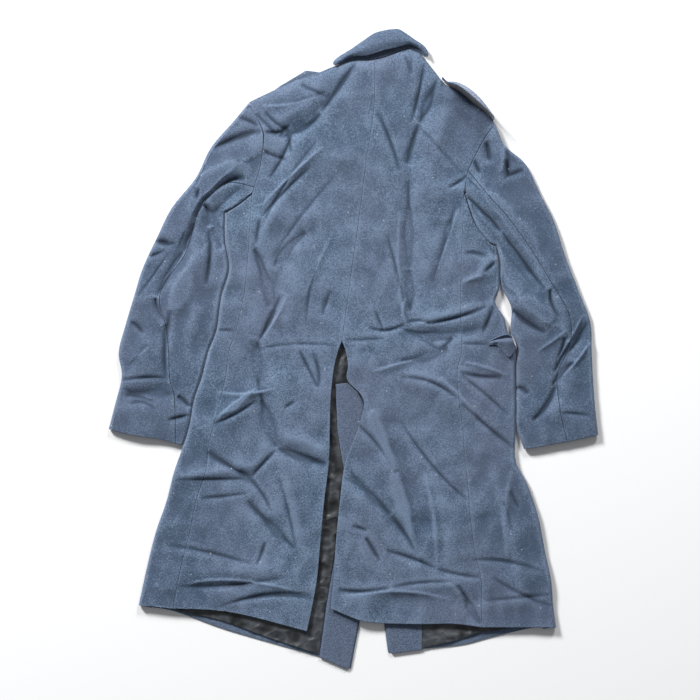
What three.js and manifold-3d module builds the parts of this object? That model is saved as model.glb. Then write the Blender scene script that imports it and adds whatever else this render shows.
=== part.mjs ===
// Military greatcoat in heavy blue-grey wool, laid flat on a surface with its back up.
// Millimetres. X runs to the coat's right sleeve, Y to its collar, Z off the surface.
// The floor is Z = 0 and the origin is under the middle of the coat.
import * as THREE from 'three';
import { mergeVertices } from 'three/addons/utils/BufferGeometryUtils.js';
import Module from 'manifold-3d';

// Driving dimensions
const WOOL = 2.6;             // thickness of the melton wool
const LINING = 1;             // thickness of the satin lining
const FACING = 2.4;           // thickness of a facing or an underlap
const COLLAR = 3;             // thickness of the two-layer collar
const LAYER_GAP = 0.4;        // air between two layers that lie on each other
const SEAM_GAP = 0.3;         // air between two pieces at a seam
const ARMHOLE_GAP = 0.9;      // the same at the curved armholes
const REST_TOP = 12;          // height of the upper layer where it lies plain
const EDGE_TOP = 5.6;         // its height where it meets the front at the shoulders
const SHOULDER_FALL = 34;     // width over which it sinks to the shoulder line
const ROLL = 6;               // half width of a rounded side edge
const PLATE_INSET = 14;       // how far the flat front stops short of the side edge
const PLATE_ARMHOLE_GAP = 2.4;  // air between the flat front and the sleeve beneath the coat
const COLLAR_RISE = 17;       // height of the collar fall, which rolls over
const STRAP_WIDTH = 48;
const STRAP = 2.4;            // thickness of a shoulder strap and of the pocket flap
const SIDE_CLEARANCE = 1.4;   // air between a sleeve and the side of the coat

// Cells along and across the pieces
const CELLS = {
  backAcross: 10, armholeRows: 8, backRows: 40,
  stripAcross: 3, rollAcross: 4, sleeveAcross: 5, sleeveUnderside: 2, sleeveRows: 26,
};

// Body sections on the left side: level, side seam, folded side edge
const LEFT_SIDE = [
  { level: 220, seam: -208.5, edge: -257 },
  { level: 162, seam: -213, edge: -249 },
  { level: 108, seam: -219, edge: -264 },
  { level: 38, seam: -235, edge: -275 },
  { level: -4, seam: -249, edge: -291 },
  { level: -52, seam: -255, edge: -303 },
  { level: -100, seam: -266, edge: -319 },
  { level: -146, seam: -278, edge: -327 },
  { level: -188, seam: -289, edge: -339 },
  { level: -242, seam: -295, edge: -358 },
  { level: -300, seam: -314, edge: -373 },
  { level: -364, seam: -327, edge: -395 },
  { level: -436, seam: -345, edge: -413 },
  { level: -510, seam: -359, edge: -429 },
];

// Body sections on the right side: level, side seam, folded side edge
const RIGHT_SIDE = [
  { level: 164, seam: 215, edge: 291 },
  { level: 122, seam: 214, edge: 291 },
  { level: 96, seam: 213, edge: 283 },
  { level: 64, seam: 214, edge: 301 },
  { level: 32, seam: 216, edge: 309 },
  { level: -4, seam: 216, edge: 323 },
  { level: -44, seam: 207, edge: 323 },
  { level: -100, seam: 211, edge: 324 },
  { level: -160, seam: 218, edge: 324 },
  { level: -220, seam: 223, edge: 324 },
  { level: -268, seam: 228, edge: 347 },
  { level: -332, seam: 233, edge: 369 },
  { level: -404, seam: 243, edge: 383 },
  { level: -460, seam: 255, edge: 395 },
  { level: -510, seam: 255, edge: 399 },
  { level: -554, seam: 257, edge: 405 },
];

// Centre-back seam: level and place, from the neck to the head of the vent
const CENTRE_BACK = [
  { level: 580, seam: 43 },
  { level: 488, seam: 41 },
  { level: 374, seam: 25 },
  { level: 278, seam: 13 },
  { level: 162, seam: -3 },
  { level: 46, seam: -19 },
  { level: 18, seam: -23 },
];

// Vent: level, edge of the left back, edge of the right back
const VENT = [
  { level: 18, left: -23, right: -23 },
  { level: -4, left: -31, right: -15 },
  { level: -32, left: -38, right: -11 },
  { level: -60, left: -42, right: -12 },
  { level: -100, left: -45.5, right: 20 },
  { level: -156, left: -47, right: 9 },
  { level: -226, left: -49, right: -17 },
  { level: -300, left: -58, right: -27 },
  { level: -380, left: -65.5, right: -35 },
  { level: -460, left: -73, right: -40.5 },
  { level: -516, left: -83, right: -45.8 },
];
const VENT_LEFT_END = [-93, -562];

// Hem and shoulder lines, armholes
const LEFT_HEM = [[-359, -514], [-285, -518], [-213, -530], [-94, -562]];
const RIGHT_HEM = [[-46, -516], [13, -540], [59, -546], [137, -548], [205, -548], [257, -555]];
const LEFT_SHOULDER = [
  [-209, 494], [-199, 500], [-157, 520], [-115, 540], [-71, 554], [-41, 566], [-7, 576],
];
const LEFT_NECKLINE = [[-7, 576], [9, 578], [29, 578], [43, 580]];
const RIGHT_NECKLINE = [[43, 580], [61, 584], [91, 595], [113, 601], [133, 594]];
const RIGHT_SHOULDER = [
  [133, 594], [161, 558], [183, 531], [207, 520], [239, 494], [271, 468], [283, 452],
];
const LEFT_ARMHOLE = [[-209, 494], [-199, 472], [-184, 446], [-179, 420], [-187, 364], [-203, 310]];
const LEFT_UNDERARM = [[-203, 310], [-231, 288], [-257, 274]];
const RIGHT_ARMHOLE = [[283, 452], [265, 428], [249, 400], [237, 376], [227, 352], [221, 312]];
const RIGHT_UNDERARM = [[221, 312], [241, 254], [267, 218], [285, 208]];

// Sleeve sections from shoulder to cuff: outer edge, hind-arm seam, inner edge
const LEFT_SLEEVE = [
  { outer: [-209, 494], seam: [-199, 324], inner: [-257, 274] },
  { outer: [-239, 458], seam: [-249, 334], inner: [-258, 226] },
  { outer: [-285, 404], seam: [-285, 308], inner: [-257, 184] },
  { outer: [-315, 344], seam: [-311, 272], inner: [-252, 160] },
  { outer: [-363, 284], seam: [-323, 232], inner: [-265, 110] },
  { outer: [-393, 224], seam: [-339, 186], inner: [-273, 68] },
  { outer: [-421, 164], seam: [-379, 132], inner: [-281, 28] },
  { outer: [-437, 112], seam: [-387, 92], inner: [-293, -2] },
  { outer: [-455, 52], seam: [-375, 48], inner: [-305, -50] },
  { outer: [-469, -4], seam: [-369, -4], inner: [-315, -82] },
  { outer: [-463, -52], seam: [-367, -56], inner: [-323, -108] },
  { outer: [-475, -104], seam: [-357, -100], inner: [-329, -144] },
  { outer: [-489, -158], seam: [-351, -186], inner: [-341, -190] },
];
const RIGHT_SLEEVE = [
  { outer: [283, 452], seam: [227, 356], inner: [285, 208] },
  { outer: [303, 408], seam: [271, 306], inner: [293.5, 176] },
  { outer: [343, 372], seam: [293, 282], inner: [294, 132] },
  { outer: [375, 308], seam: [315, 256], inner: [315, 84] },
  { outer: [401, 256], seam: [357, 196], inner: [314, 40] },
  { outer: [423, 188], seam: [395, 134], inner: [325.5, 8] },
  { outer: [449, 120], seam: [427, 80], inner: [325, -24] },
  { outer: [473, 56], seam: [435, 40], inner: [325, -60] },
  { outer: [476, -4], seam: [427, -4], inner: [325, -92] },
  { outer: [479, -64], seam: [407, -52], inner: [325.5, -120] },
  { outer: [483, -116], seam: [413, -124], inner: [326, -156] },
  { outer: [489, -170], seam: [431, -184], inner: [341, -199] },
];
const LEFT_CUFF = [[-489, -158], [-453, -168], [-389, -178], [-341, -190]];
const RIGHT_CUFF = [[489, -170], [433, -182], [341, -199]];

// Large folds of the upper layer: where each starts, bends and ends, its rise,
// and its widths to the left and right of its run
const FOLD_COLUMNS = ['name', 'startX', 'startY', 'bendX', 'bendY', 'endX', 'endY', 'rise', 'left', 'right'];
const FOLDS = [
  ['shoulder drape left', -3, 560, -63, 476, -145, 426, -3, 16, 20],
  ['shoulder blade left', -71, 510, -127, 464, -183, 444, 4, 24, 24],
  ['armhole drag left', -103, 380, -155, 308, -183, 220, 4, 22, 26],
  ['back drape left', -91, 236, -143, 196, -163, 108, -3, 16, 16],
  ['waist bulge left', -107, 176, -123, 100, -139, 40, 4, 30, 24],
  ['side tuck left', -201, 202, -171, 136, -171, 80, -3, 14, 14],
  ['waist drape left', -189, 20, -199, -36, -159, -172, -3, 16, 22],
  ['hip fold left', -279, -140, -235, -120, -183, -72, 5, 18, 26],
  ['seat fold left', -163, -160, -151, -210, -51, -230, -3, 16, 16],
  ['seat swell left', -143, -172, -99, -180, -55, -200, 4, 22, 16],
  ['side fold left', -291, -204, -249, -232, -205, -256, -3, 14, 14],
  ['skirt fold left', -355, -258, -279, -244, -203, -232, 4, 18, 14],
  ['skirt drape left', -211, -300, -175, -340, -115, -396, -3, 16, 16],
  ['skirt ridge left', -143, -260, -123, -324, -107, -392, 4, 20, 20],
  ['hem swell left', -371, -432, -263, -448, -127, -440, 3, 24, 24],
  ['centre drape right', 165, 540, 129, 440, 109, 368, -3, 16, 16],
  ['centre ridge right', 189, 500, 161, 400, 141, 300, 4, 26, 30],
  ['back drape right', 109, 368, 111, 220, 113, 60, -3, 16, 18],
  ['armhole drag right', 205, 290, 185, 210, 157, 134, -2.5, 16, 16],
  ['side tuck right', 217, 136, 245, 148, 285, 178, 4, 16, 20],
  ['waist fold right', 133, 56, 203, 66, 269, 90, 5, 18, 14],
  ['waist hollow right', 93, 32, 173, 24, 265, 48, -3, 12, 16],
  ['hip facet right', 93, -22, 149, -12, 193, 6, -3, 12, 20],
  ['hip fold right', 97, -54, 173, -48, 265, -156, 5, 18, 22],
  ['seat fold right', 37, -118, 61, -180, 129, -408, 6, 16, 26],
  ['seat drape right', -21, -236, 49, -300, 125, -400, -3, 16, 16],
  ['skirt drape right', 153, -240, 185, -340, 197, -480, 4, 30, 30],
  ['hem swell right', -3, -492, 93, -468, 205, -464, 4, 22, 18],
  ['side drape right', 277, -240, 309, -340, 333, -480, 4, 24, 24],
  ['sleeve head left', -183, 436, -227, 432, -279, 408, 3, 12, 18],
  ['upper arm fold left', -227, 372, -295, 348, -335, 244, 10, 17, 28],
  ['elbow fold left', -311, 188, -355, 128, -361, 68, 9, 28, 15],
  ['forearm swell left', -407, 40, -415, -20, -423, -80, 4, 34, 34],
  ['cuff crease left', -457, -92, -411, -80, -351, -92, -3, 14, 14],
  ['inner arm swell left', -315, 120, -323, 40, -335, -40, 4, 24, 24],
  ['sleeve head right', 287, 448, 297, 400, 293, 344, 4, 18, 18],
  ['upper arm fold right', 257, 316, 317, 260, 389, 148, 10, 28, 17],
  ['elbow fold right', 373, 148, 425, 80, 425, 20, 6, 24, 20],
  ['elbow hollow right', 469, 48, 425, -4, 405, -72, -3, 12, 12],
  ['inner arm fold right', 333, 104, 369, 74, 397, 52, 9, 24, 15],
  ['forearm swell right', 437, -68, 417, -100, 389, -148, 4, 26, 26],
].map((row) => Object.fromEntries(row.map((value, i) => [FOLD_COLUMNS[i], value])));
const FOLD_STEPS = 8;
const FOLD_DEPTH = 1.25;       // how much deeper the cloth lies folded than the table says

// Low swell of the whole upper layer over the hidden layers: centre, radii and rise
const SWELLS = [
  { x: 40, y: 470, across: 190, along: 120, rise: 3 },
  { x: -20, y: -130, across: 110, along: 130, rise: 1.6 },
  { x: 300, y: 40, across: 60, along: 90, rise: 1.5 },
];

// Materials
const wool = new THREE.MeshStandardMaterial({ color: 0x5d6b80, roughness: 0.95, metalness: 0 });
const underWool = new THREE.MeshStandardMaterial({ color: 0x4c5a6d, roughness: 0.95, metalness: 0 });
const satin = new THREE.MeshStandardMaterial({ color: 0x24292c, roughness: 0.4, metalness: 0 });

const coat = new THREE.Group();
coat.name = 'greatcoat';

// Curves
const lerp = (a, b, t) => a + (b - a) * t;
const mix = (p, q, t) => [lerp(p[0], q[0], t), lerp(p[1], q[1], t)];

function curveThrough(points) {
  const spline = new THREE.SplineCurve(points.map((p) => new THREE.Vector2(p[0], p[1])));
  return (t) => {
    const p = spline.getPointAt(Math.min(1, Math.max(0, t)));
    return [p.x, p.y];
  };
}

function joined(first, second, share) {
  return (t) => (t <= share ? first(t / share) : second((t - share) / (1 - share)));
}

function part(curve, from, to) {
  return (t) => curve(lerp(from, to, t));
}

function straight(p, q) {
  return (t) => mix(p, q, t);
}

function direction(curve, t) {
  const a = curve(Math.max(0, t - 0.01));
  const b = curve(Math.min(1, t + 0.01));
  const length = Math.hypot(b[0] - a[0], b[1] - a[1]);
  return [(b[0] - a[0]) / length, (b[1] - a[1]) / length];
}

// Moves a curve sideways: to its right hand where the amount is positive
function shifted(curve, amount) {
  return (t) => {
    const [x, y] = curve(t);
    const [dx, dy] = direction(curve, t);
    return [x + dy * amount, y - dx * amount];
  };
}

// Height of the upper layer
function foldLine(fold) {
  const start = [fold.startX, fold.startY];
  const bend = [fold.bendX, fold.bendY];
  const end = [fold.endX, fold.endY];
  const line = [];
  for (let i = 0; i <= FOLD_STEPS; i += 1) {
    const t = i / FOLD_STEPS;
    line.push(mix(mix(start, bend, t), mix(bend, end, t), t));
  }
  return line;
}
const FOLD_LINES = FOLDS.map(foldLine);

function nearestOn(line, x, y) {
  let best = { distance: Infinity, along: 0, side: 1 };
  for (let i = 0; i < line.length - 1; i += 1) {
    const [ax, ay] = line[i];
    const dx = line[i + 1][0] - ax;
    const dy = line[i + 1][1] - ay;
    const s = Math.min(1, Math.max(0, ((x - ax) * dx + (y - ay) * dy) / (dx * dx + dy * dy)));
    const offX = x - ax - s * dx;
    const offY = y - ay - s * dy;
    const distance = Math.hypot(offX, offY);
    if (distance < best.distance) {
      const side = Math.sign(dx * offY - dy * offX) || 1;
      best = { distance, along: (i + s) / (line.length - 1), side };
    }
  }
  return best;
}

function foldRise(fold, line, x, y) {
  const { distance, along, side } = nearestOn(line, x, y);
  const width = side > 0 ? fold.left : fold.right;
  const taper = Math.sqrt(Math.max(0, Math.sin(Math.PI * (0.06 + 0.88 * along))));
  return FOLD_DEPTH * fold.rise * taper * Math.exp(-((distance / width) ** 2));
}

const SHOULDER_LINE = [
  ...LEFT_SHOULDER,
  ...LEFT_NECKLINE.slice(1),
  ...RIGHT_NECKLINE.slice(1),
  ...RIGHT_SHOULDER.slice(1),
];
const LOWEST_TOP = WOOL * 2 + LAYER_GAP * 2;
const SKIRT = { below: 10, lowest: 8.8 };
// Over the vent underlap the upper layer lies higher
const VENT_ZONE = { left: -62, right: 48, low: -262, high: -30, border: 20, top: 10.6 };

function smooth(t) {
  const c = Math.min(1, Math.max(0, t));
  return c * c * (3 - 2 * c);
}

function insideVent(x, y) {
  const { left, right, low, high, border } = VENT_ZONE;
  const across = smooth((x - left) / border) * smooth((right - x) / border);
  return across * smooth((y - low) / border) * smooth((high - y) / border);
}

function upperHeight(x, y) {
  let z = REST_TOP;
  SWELLS.forEach((s) => {
    z += s.rise * Math.exp(-(((x - s.x) / s.across) ** 2) - ((y - s.y) / s.along) ** 2);
  });
  FOLDS.forEach((fold, i) => {
    z += foldRise(fold, FOLD_LINES[i], x, y);
  });
  z = Math.max(z, LOWEST_TOP);
  if (y < SKIRT.below) z = Math.max(z, SKIRT.lowest);
  z = Math.max(z, lerp(LOWEST_TOP, VENT_ZONE.top, insideVent(x, y)));
  const near = smooth(nearestOn(SHOULDER_LINE, x, y).distance / SHOULDER_FALL);
  return lerp(EDGE_TOP, z, near);
}

// Walls. Both faces are given as functions of u and v from 0 to 1.
function closedWall(cellsU, cellsV, outer, inner) {
  const geometry = new THREE.BoxGeometry(1, 1, 1, cellsU, cellsV, 1);
  const position = geometry.attributes.position;
  for (let i = 0; i < position.count; i += 1) {
    const u = position.getX(i) + 0.5;
    const v = 0.5 - position.getY(i);
    const face = position.getZ(i) > 0 ? outer : inner;
    const [x, y, z] = face(u, v);
    position.setXYZ(i, x, y, z);
  }
  return facingOut(geometry);
}

function signedVolume(geometry) {
  const position = geometry.attributes.position;
  const index = geometry.index;
  const a = new THREE.Vector3();
  const b = new THREE.Vector3();
  const c = new THREE.Vector3();
  let volume = 0;
  for (let i = 0; i < index.count; i += 3) {
    a.fromBufferAttribute(position, index.getX(i));
    b.fromBufferAttribute(position, index.getX(i + 1));
    c.fromBufferAttribute(position, index.getX(i + 2));
    volume += a.dot(b.cross(c)) / 6;
  }
  return volume;
}

function facingOut(geometry) {
  if (signedVolume(geometry) < 0) {
    const index = geometry.index;
    for (let i = 0; i < index.count; i += 3) {
      const first = index.getX(i);
      index.setX(i, index.getX(i + 2));
      index.setX(i + 2, first);
    }
  }
  geometry.computeVertexNormals();
  return geometry;
}

// A patch between four boundary curves; sides run down, top and bottom run across.
// The bow of the top and bottom curves fades out along the patch.
const BOW_FADE = 3;
function patch(sideA, sideB, top, bottom) {
  return (u, v) => [0, 1].map((k) => {
    const across = lerp(sideA(v)[k], sideB(v)[k], u);
    const topBow = top(u)[k] - lerp(top(0)[k], top(1)[k], u);
    const bottomBow = bottom(u)[k] - lerp(bottom(0)[k], bottom(1)[k], u);
    return across + topBow * (1 - v) ** BOW_FADE + bottomBow * v ** BOW_FADE;
  });
}

function upperWall(plan, cellsU, cellsV, thickness = WOOL) {
  const outer = (u, v) => {
    const [x, y] = plan(u, v);
    return [x, y, upperHeight(x, y)];
  };
  const inner = (u, v) => {
    const [x, y, z] = outer(u, v);
    return [x, y, z - thickness];
  };
  return closedWall(cellsU, cellsV, outer, inner);
}

// A wall that lies over the coat, rolls round an edge and returns along the floor.
// The edge curve is the outline; side is +1 where the outline is on the right of the run.
function rolledWall(spec) {
  const { seam, edge, side, top, bottom, underSeam, underTop, underBottom, cells, firstOut } = spec;
  const outward = (v) => {
    const [dx, dy] = direction(edge, v);
    const own = [dy * side, -dx * side];
    const out = firstOut ? mix(firstOut, own, smooth(v / 0.1)) : own;
    const length = Math.hypot(out[0], out[1]);
    return [out[0] / length, out[1] / length];
  };
  const inset = (v) => {
    const [x, y] = edge(v);
    const [ox, oy] = outward(v);
    return [x - ox * ROLL, y - oy * ROLL];
  };
  const closing = (line, u, end) => mix(line(u), end, u ** 6);
  const plan = patch(seam, inset, (u) => closing(top, u, inset(0)), (u) => closing(bottom, u, inset(1)));
  const floorPlan = patch(
    inset,
    underSeam,
    (u) => closing((t) => underTop(1 - t), 1 - u, inset(0)),
    (u) => closing((t) => underBottom(1 - t), 1 - u, inset(1)),
  );
  const total = cells.across + CELLS.rollAcross + cells.below;
  const overShare = cells.across / total;
  const rollShare = (cells.across + CELLS.rollAcross) / total;
  const place = (u, v, depth) => {
    if (u <= overShare) {
      const [x, y] = plan(u / overShare, v);
      return [x, y, upperHeight(x, y) - depth];
    }
    if (u > rollShare) {
      const [x, y] = floorPlan((u - rollShare) / (1 - rollShare), v);
      return [x, y, depth];
    }
    const [cx, cy] = inset(v);
    const [ox, oy] = outward(v);
    const half = upperHeight(cx, cy) / 2;
    const turn = Math.PI * (0.5 - (u - overShare) / (rollShare - overShare));
    const reach = (ROLL - depth) * Math.cos(turn);
    return [cx + ox * reach, cy + oy * reach, half + (half - depth) * Math.sin(turn)];
  };
  const outer = (u, v) => place(u, v, 0);
  const inner = (u, v) => place(u, v, WOOL);
  return closedWall(total, cells.rows, outer, inner);
}

// A flat sheet with the given outline, lying at the given height
function flatSheet(outline, floor, thickness) {
  const shape = new THREE.Shape(outline.map((p) => new THREE.Vector2(p[0], p[1])));
  const geometry = new THREE.ExtrudeGeometry(shape, { depth: thickness, bevelEnabled: false });
  geometry.translate(0, 0, floor);
  return geometry;
}

// Joining two overlapping solids into one
const wasm = await Module();
wasm.setup();

function solidOf(geometry) {
  const bare = geometry.clone();
  bare.deleteAttribute('normal');
  bare.deleteAttribute('uv');
  const merged = mergeVertices(bare, 1e-4);
  return new wasm.Manifold(new wasm.Mesh({
    numProp: 3,
    vertProperties: new Float32Array(merged.attributes.position.array),
    triVerts: new Uint32Array(merged.index.array),
  }));
}

function joinedSolid(first, second) {
  const mesh = solidOf(first).add(solidOf(second)).getMesh();
  const geometry = new THREE.BufferGeometry();
  geometry.setAttribute('position', new THREE.BufferAttribute(new Float32Array(mesh.vertProperties), 3));
  geometry.setIndex(new THREE.BufferAttribute(new Uint32Array(mesh.triVerts), 1));
  return facingOut(geometry);
}

function addPiece(name, geometry, material) {
  const mesh = new THREE.Mesh(geometry, material);
  mesh.name = name;
  coat.add(mesh);
}

function sampled(curve, count, from = 0, to = 1) {
  return Array.from({ length: count + 1 }, (_, i) => curve(lerp(from, to, i / count)));
}

// Shared seam lines
const HALF_SEAM = SEAM_GAP / 2 + 0.05;
const HALF_ARMHOLE = ARMHOLE_GAP / 2;
const HALF_SLEEVE_SEAM = 0.45;
const HALF_UNDERARM = 0.9;
const column = (rows, name) => rows.map((row) => [row[name], row.level]);
const leftSeam = curveThrough([LEFT_ARMHOLE.at(-1), ...column(LEFT_SIDE, 'seam'), LEFT_HEM[0]]);
const leftEdge = curveThrough([LEFT_UNDERARM.at(-1), ...column(LEFT_SIDE, 'edge')]);
const rightSeam = curveThrough([RIGHT_ARMHOLE.at(-1), ...column(RIGHT_SIDE, 'seam')]);
const rightEdge = curveThrough([RIGHT_UNDERARM.at(-1), ...column(RIGHT_SIDE, 'edge')]);
const leftArmhole = curveThrough(LEFT_ARMHOLE);
const leftUnderarm = curveThrough(LEFT_UNDERARM);
const rightArmhole = curveThrough(RIGHT_ARMHOLE);
const rightUnderarm = curveThrough(RIGHT_UNDERARM);
const centreSeam = curveThrough(column(CENTRE_BACK, 'seam'));
const ventLeft = curveThrough([...column(VENT, 'left'), VENT_LEFT_END]);
const ventRight = curveThrough(column(VENT, 'right'));

// Backs
function addBacks() {
  const armholeShare = CELLS.armholeRows / CELLS.backRows;
  const leftSide = joined(
    shifted(leftArmhole, -HALF_ARMHOLE),
    shifted(leftSeam, -HALF_SEAM),
    armholeShare,
  );
  const leftCentre = joined(shifted(centreSeam, HALF_SEAM), shifted(ventLeft, HALF_SEAM), 0.5);
  const leftTop = joined(curveThrough(LEFT_SHOULDER), curveThrough(LEFT_NECKLINE), 0.8);
  const leftPlan = patch(leftSide, leftCentre, leftTop, curveThrough(LEFT_HEM));
  addPiece('back_left', upperWall(leftPlan, CELLS.backAcross, CELLS.backRows), wool);
  const rightSide = joined(
    shifted(rightArmhole, HALF_ARMHOLE),
    shifted(rightSeam, HALF_SEAM),
    armholeShare,
  );
  const rightCentre = joined(shifted(centreSeam, -HALF_SEAM), shifted(ventRight, -HALF_SEAM), 0.5);
  const rightTop = joined(curveThrough(RIGHT_NECKLINE), curveThrough(RIGHT_SHOULDER), 0.3);
  const rightPlan = patch(rightCentre, rightSide, rightTop, curveThrough(RIGHT_HEM));
  addPiece('back_right', upperWall(rightPlan, CELLS.backAcross, CELLS.backRows), wool);
}
addBacks();

// Fronts: a flat sheet on the floor, a rounded side edge and the strip back to the side seam.
// Each outline starts at the neck point and runs along the shoulder.
const LEFT_FRONT_SHOULDER = [[-7, 576], [-41, 566], [-55, 552], [-35, 502], [-155, 458], [-183, 502]];
const RIGHT_FRONT_SHOULDER = [[129, 588], [167, 548], [175, 530], [207, 518], [239, 492], [271, 466]];
const LEFT_FRONT_EDGE = [[61, 492], [71, 300], [65, 10], [29, -300], [13, -540], [-5, -636]];
const RIGHT_FRONT_EDGE = [[65, 492], [76, 300], [70, 10], [65, -300], [61, -546], [69, -604]];
const LEFT_FRONT_HEM = [
  [-13, -642], [-69, -620], [-105, -608], [-213, -574], [-267, -556], [-355, -522], [-409, -512],
];
const RIGHT_FRONT_HEM = [[75, -610], [137, -602], [219, -590], [273, -574], [355, -552], [389, -551]];
const LEFT_NECK = [[5, 532], [25, 508]];
const RIGHT_NECK = [[121, 540], [101, 508]];

function frontSolid(front) {
  const { seam, edge, underarm, armhole, side } = front;
  const underSeam = shifted(edge, -side * (PLATE_INSET + 12));
  const roll = rolledWall({
    seam: shifted(seam, side * HALF_SEAM),
    edge,
    side,
    top: shifted(underarm, -side * HALF_ARMHOLE),
    bottom: straight(seam(1), edge(1)),
    underSeam,
    underTop: straight(edge(0), underSeam(0)),
    underBottom: straight(edge(1), underSeam(1)),
    cells: { across: CELLS.stripAcross, below: 1, rows: CELLS.backRows - CELLS.armholeRows },
  });
  const outline = [
    ...front.shoulder,
    ...sampled(shifted(armhole, -side * PLATE_ARMHOLE_GAP), 12, 0.04, 0.98),
    ...sampled(shifted(underarm, -side * PLATE_ARMHOLE_GAP), 3, 0.1, 0.55),
    ...sampled(shifted(edge, -side * PLATE_INSET), 20, 0.02, 1),
    ...[...front.hem].reverse(),
    ...[...front.frontEdge].reverse(),
    ...[...front.neck].reverse(),
  ];
  return joinedSolid(flatSheet(outline, 0, WOOL), roll);
}

addPiece('front_left', frontSolid({
  seam: leftSeam, edge: leftEdge, underarm: leftUnderarm, armhole: leftArmhole, side: 1,
  shoulder: LEFT_FRONT_SHOULDER, neck: LEFT_NECK, frontEdge: LEFT_FRONT_EDGE, hem: LEFT_FRONT_HEM,
}), wool);
addPiece('front_right', frontSolid({
  seam: rightSeam, edge: rightEdge, underarm: rightUnderarm, armhole: rightArmhole, side: -1,
  shoulder: RIGHT_FRONT_SHOULDER, neck: RIGHT_NECK, frontEdge: RIGHT_FRONT_EDGE, hem: RIGHT_FRONT_HEM,
}), wool);

// Sleeves: each a flattened tube of two pieces, open at the armhole and the cuff.
// Places along the armhole ring and the cuff are shares of their length.
function addSleeve(prefix, sleeve) {
  const { rows, side, ring, cornerAt, seamAt, floorSeamAt, cuff, cuffSeamAt } = sleeve;
  const middle = rows.slice(1, -1);
  const outerEdge = curveThrough([ring(0), ...rows.slice(1).map((row) => row.outer)]);
  const [tipX, tipY] = direction(ring, 0);
  const hindSeam = curveThrough([ring(seamAt), ...middle.map((row) => row.seam), cuff(cuffSeamAt)]);
  const forearmSeam = curveThrough([
    ring(floorSeamAt),
    ...middle.map((row) => mix(row.outer, row.inner, 0.5)),
    cuff(0.5),
  ]);
  const cells = { across: CELLS.sleeveAcross, below: CELLS.sleeveUnderside, rows: CELLS.sleeveRows };
  addPiece(`${prefix}_top`, rolledWall({
    seam: shifted(hindSeam, side * HALF_SLEEVE_SEAM),
    edge: outerEdge,
    side,
    top: part(ring, seamAt, 0),
    bottom: part(cuff, cuffSeamAt, 0),
    underSeam: shifted(forearmSeam, side * HALF_SLEEVE_SEAM),
    underTop: part(ring, 0, floorSeamAt),
    underBottom: part(cuff, 0, 0.5),
    firstOut: [-tipX, -tipY],
    cells,
  }), wool);
  addPiece(`${prefix}_under`, rolledWall({
    seam: shifted(hindSeam, -side * HALF_SLEEVE_SEAM),
    edge: sleeve.innerEdge,
    side: -side,
    top: part(ring, seamAt, cornerAt),
    bottom: part(cuff, cuffSeamAt, 1),
    underSeam: shifted(forearmSeam, -side * HALF_SLEEVE_SEAM),
    underTop: part(ring, cornerAt, floorSeamAt),
    underBottom: part(cuff, 1, 0.5),
    cells,
  }), underWool);
}

// Share of a curve's length at which it reaches a level
function shareAt(curve, level) {
  let [low, high] = [0, 1];
  for (let i = 0; i < 30; i += 1) {
    const half = (low + high) / 2;
    if (curve(half)[1] > level) low = half;
    else high = half;
  }
  return low;
}

function besideTheCoat(edge, side, cuffCorner) {
  const away = shifted(edge, side * SIDE_CLEARANCE);
  return joined(part(away, 0, shareAt(away, cuffCorner[1] + 16)), (t) => {
    const start = away(shareAt(away, cuffCorner[1] + 16));
    return mix(start, cuffCorner, t);
  }, 0.96);
}

// The inner edge of each sleeve follows the underarm seam and then the side of the coat
const UNDERARM_ROWS = { left: 3, right: 6 };
const leftUnderarmEdge = shifted(leftUnderarm, HALF_UNDERARM);
const rightUnderarmEdge = shifted(rightUnderarm, -HALF_UNDERARM);
const rightArmEdge = curveThrough([rightUnderarmEdge(1), ...RIGHT_SLEEVE.slice(1).map((row) => row.inner)]);
addSleeve('sleeve_left', {
  rows: LEFT_SLEEVE,
  side: 1,
  ring: shifted(joined(leftArmhole, leftUnderarm, 0.75), HALF_ARMHOLE),
  cornerAt: 0.75,
  seamAt: 0.69,
  floorSeamAt: 0.4,
  cuff: curveThrough(LEFT_CUFF),
  cuffSeamAt: 0.9,
  innerEdge: joined(
    leftUnderarmEdge,
    besideTheCoat(leftEdge, 1, LEFT_CUFF.at(-1)),
    UNDERARM_ROWS.left / CELLS.sleeveRows,
  ),
});
addSleeve('sleeve_right', {
  rows: RIGHT_SLEEVE,
  side: -1,
  ring: shifted(joined(rightArmhole, rightUnderarm, 0.6), -HALF_ARMHOLE),
  cornerAt: 0.6,
  seamAt: 0.42,
  floorSeamAt: 0.35,
  cuff: curveThrough(RIGHT_CUFF),
  cuffSeamAt: 0.42,
  innerEdge: joined(rightUnderarmEdge, rightArmEdge, UNDERARM_ROWS.right / CELLS.sleeveRows),
});

// Lining, facings and the vent underlap lie on the fronts
const LINING_LEFT = [
  [-251, -4], [-283, -100], [-307, -190], [-327, -260], [-355, -380], [-377, -460], [-385, -502],
  [-345, -522], [-267, -540], [-177, -572], [-70, -608], [-54.5, -504], [-18.5, -300],
  [-12, -262], [25, -262], [61, 8],
];
const FACING_LEFT = [
  [-10, -264], [-17, -300], [-53, -504], [-68, -614], [-13, -638], [-7, -632], [10.5, -540],
  [26.5, -300], [30, -264],
];
const LINING_RIGHT = [
  [137.5, -420], [137.5, -596], [205, -580], [255, -564], [305, -556], [357, -536], [357, -420],
];
const FACING_RIGHT = [[67, -420], [64, -546], [71.5, -602], [77, -607], [137, -599], [137, -420]];
const VENT_UNDERLAP = [
  [-36, -68], [-17, -74], [1, -88], [17, -110], [29, -140], [21, -200], [9, -248], [-17, -248],
  [-22, -222], [-32, -160],
];
const ON_FRONT = WOOL + LAYER_GAP;
addPiece('lining_left', flatSheet(LINING_LEFT, ON_FRONT, LINING), satin);
addPiece('facing_left', flatSheet(FACING_LEFT, ON_FRONT, FACING), underWool);
addPiece('lining_right', flatSheet(LINING_RIGHT, ON_FRONT, LINING), satin);
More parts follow.
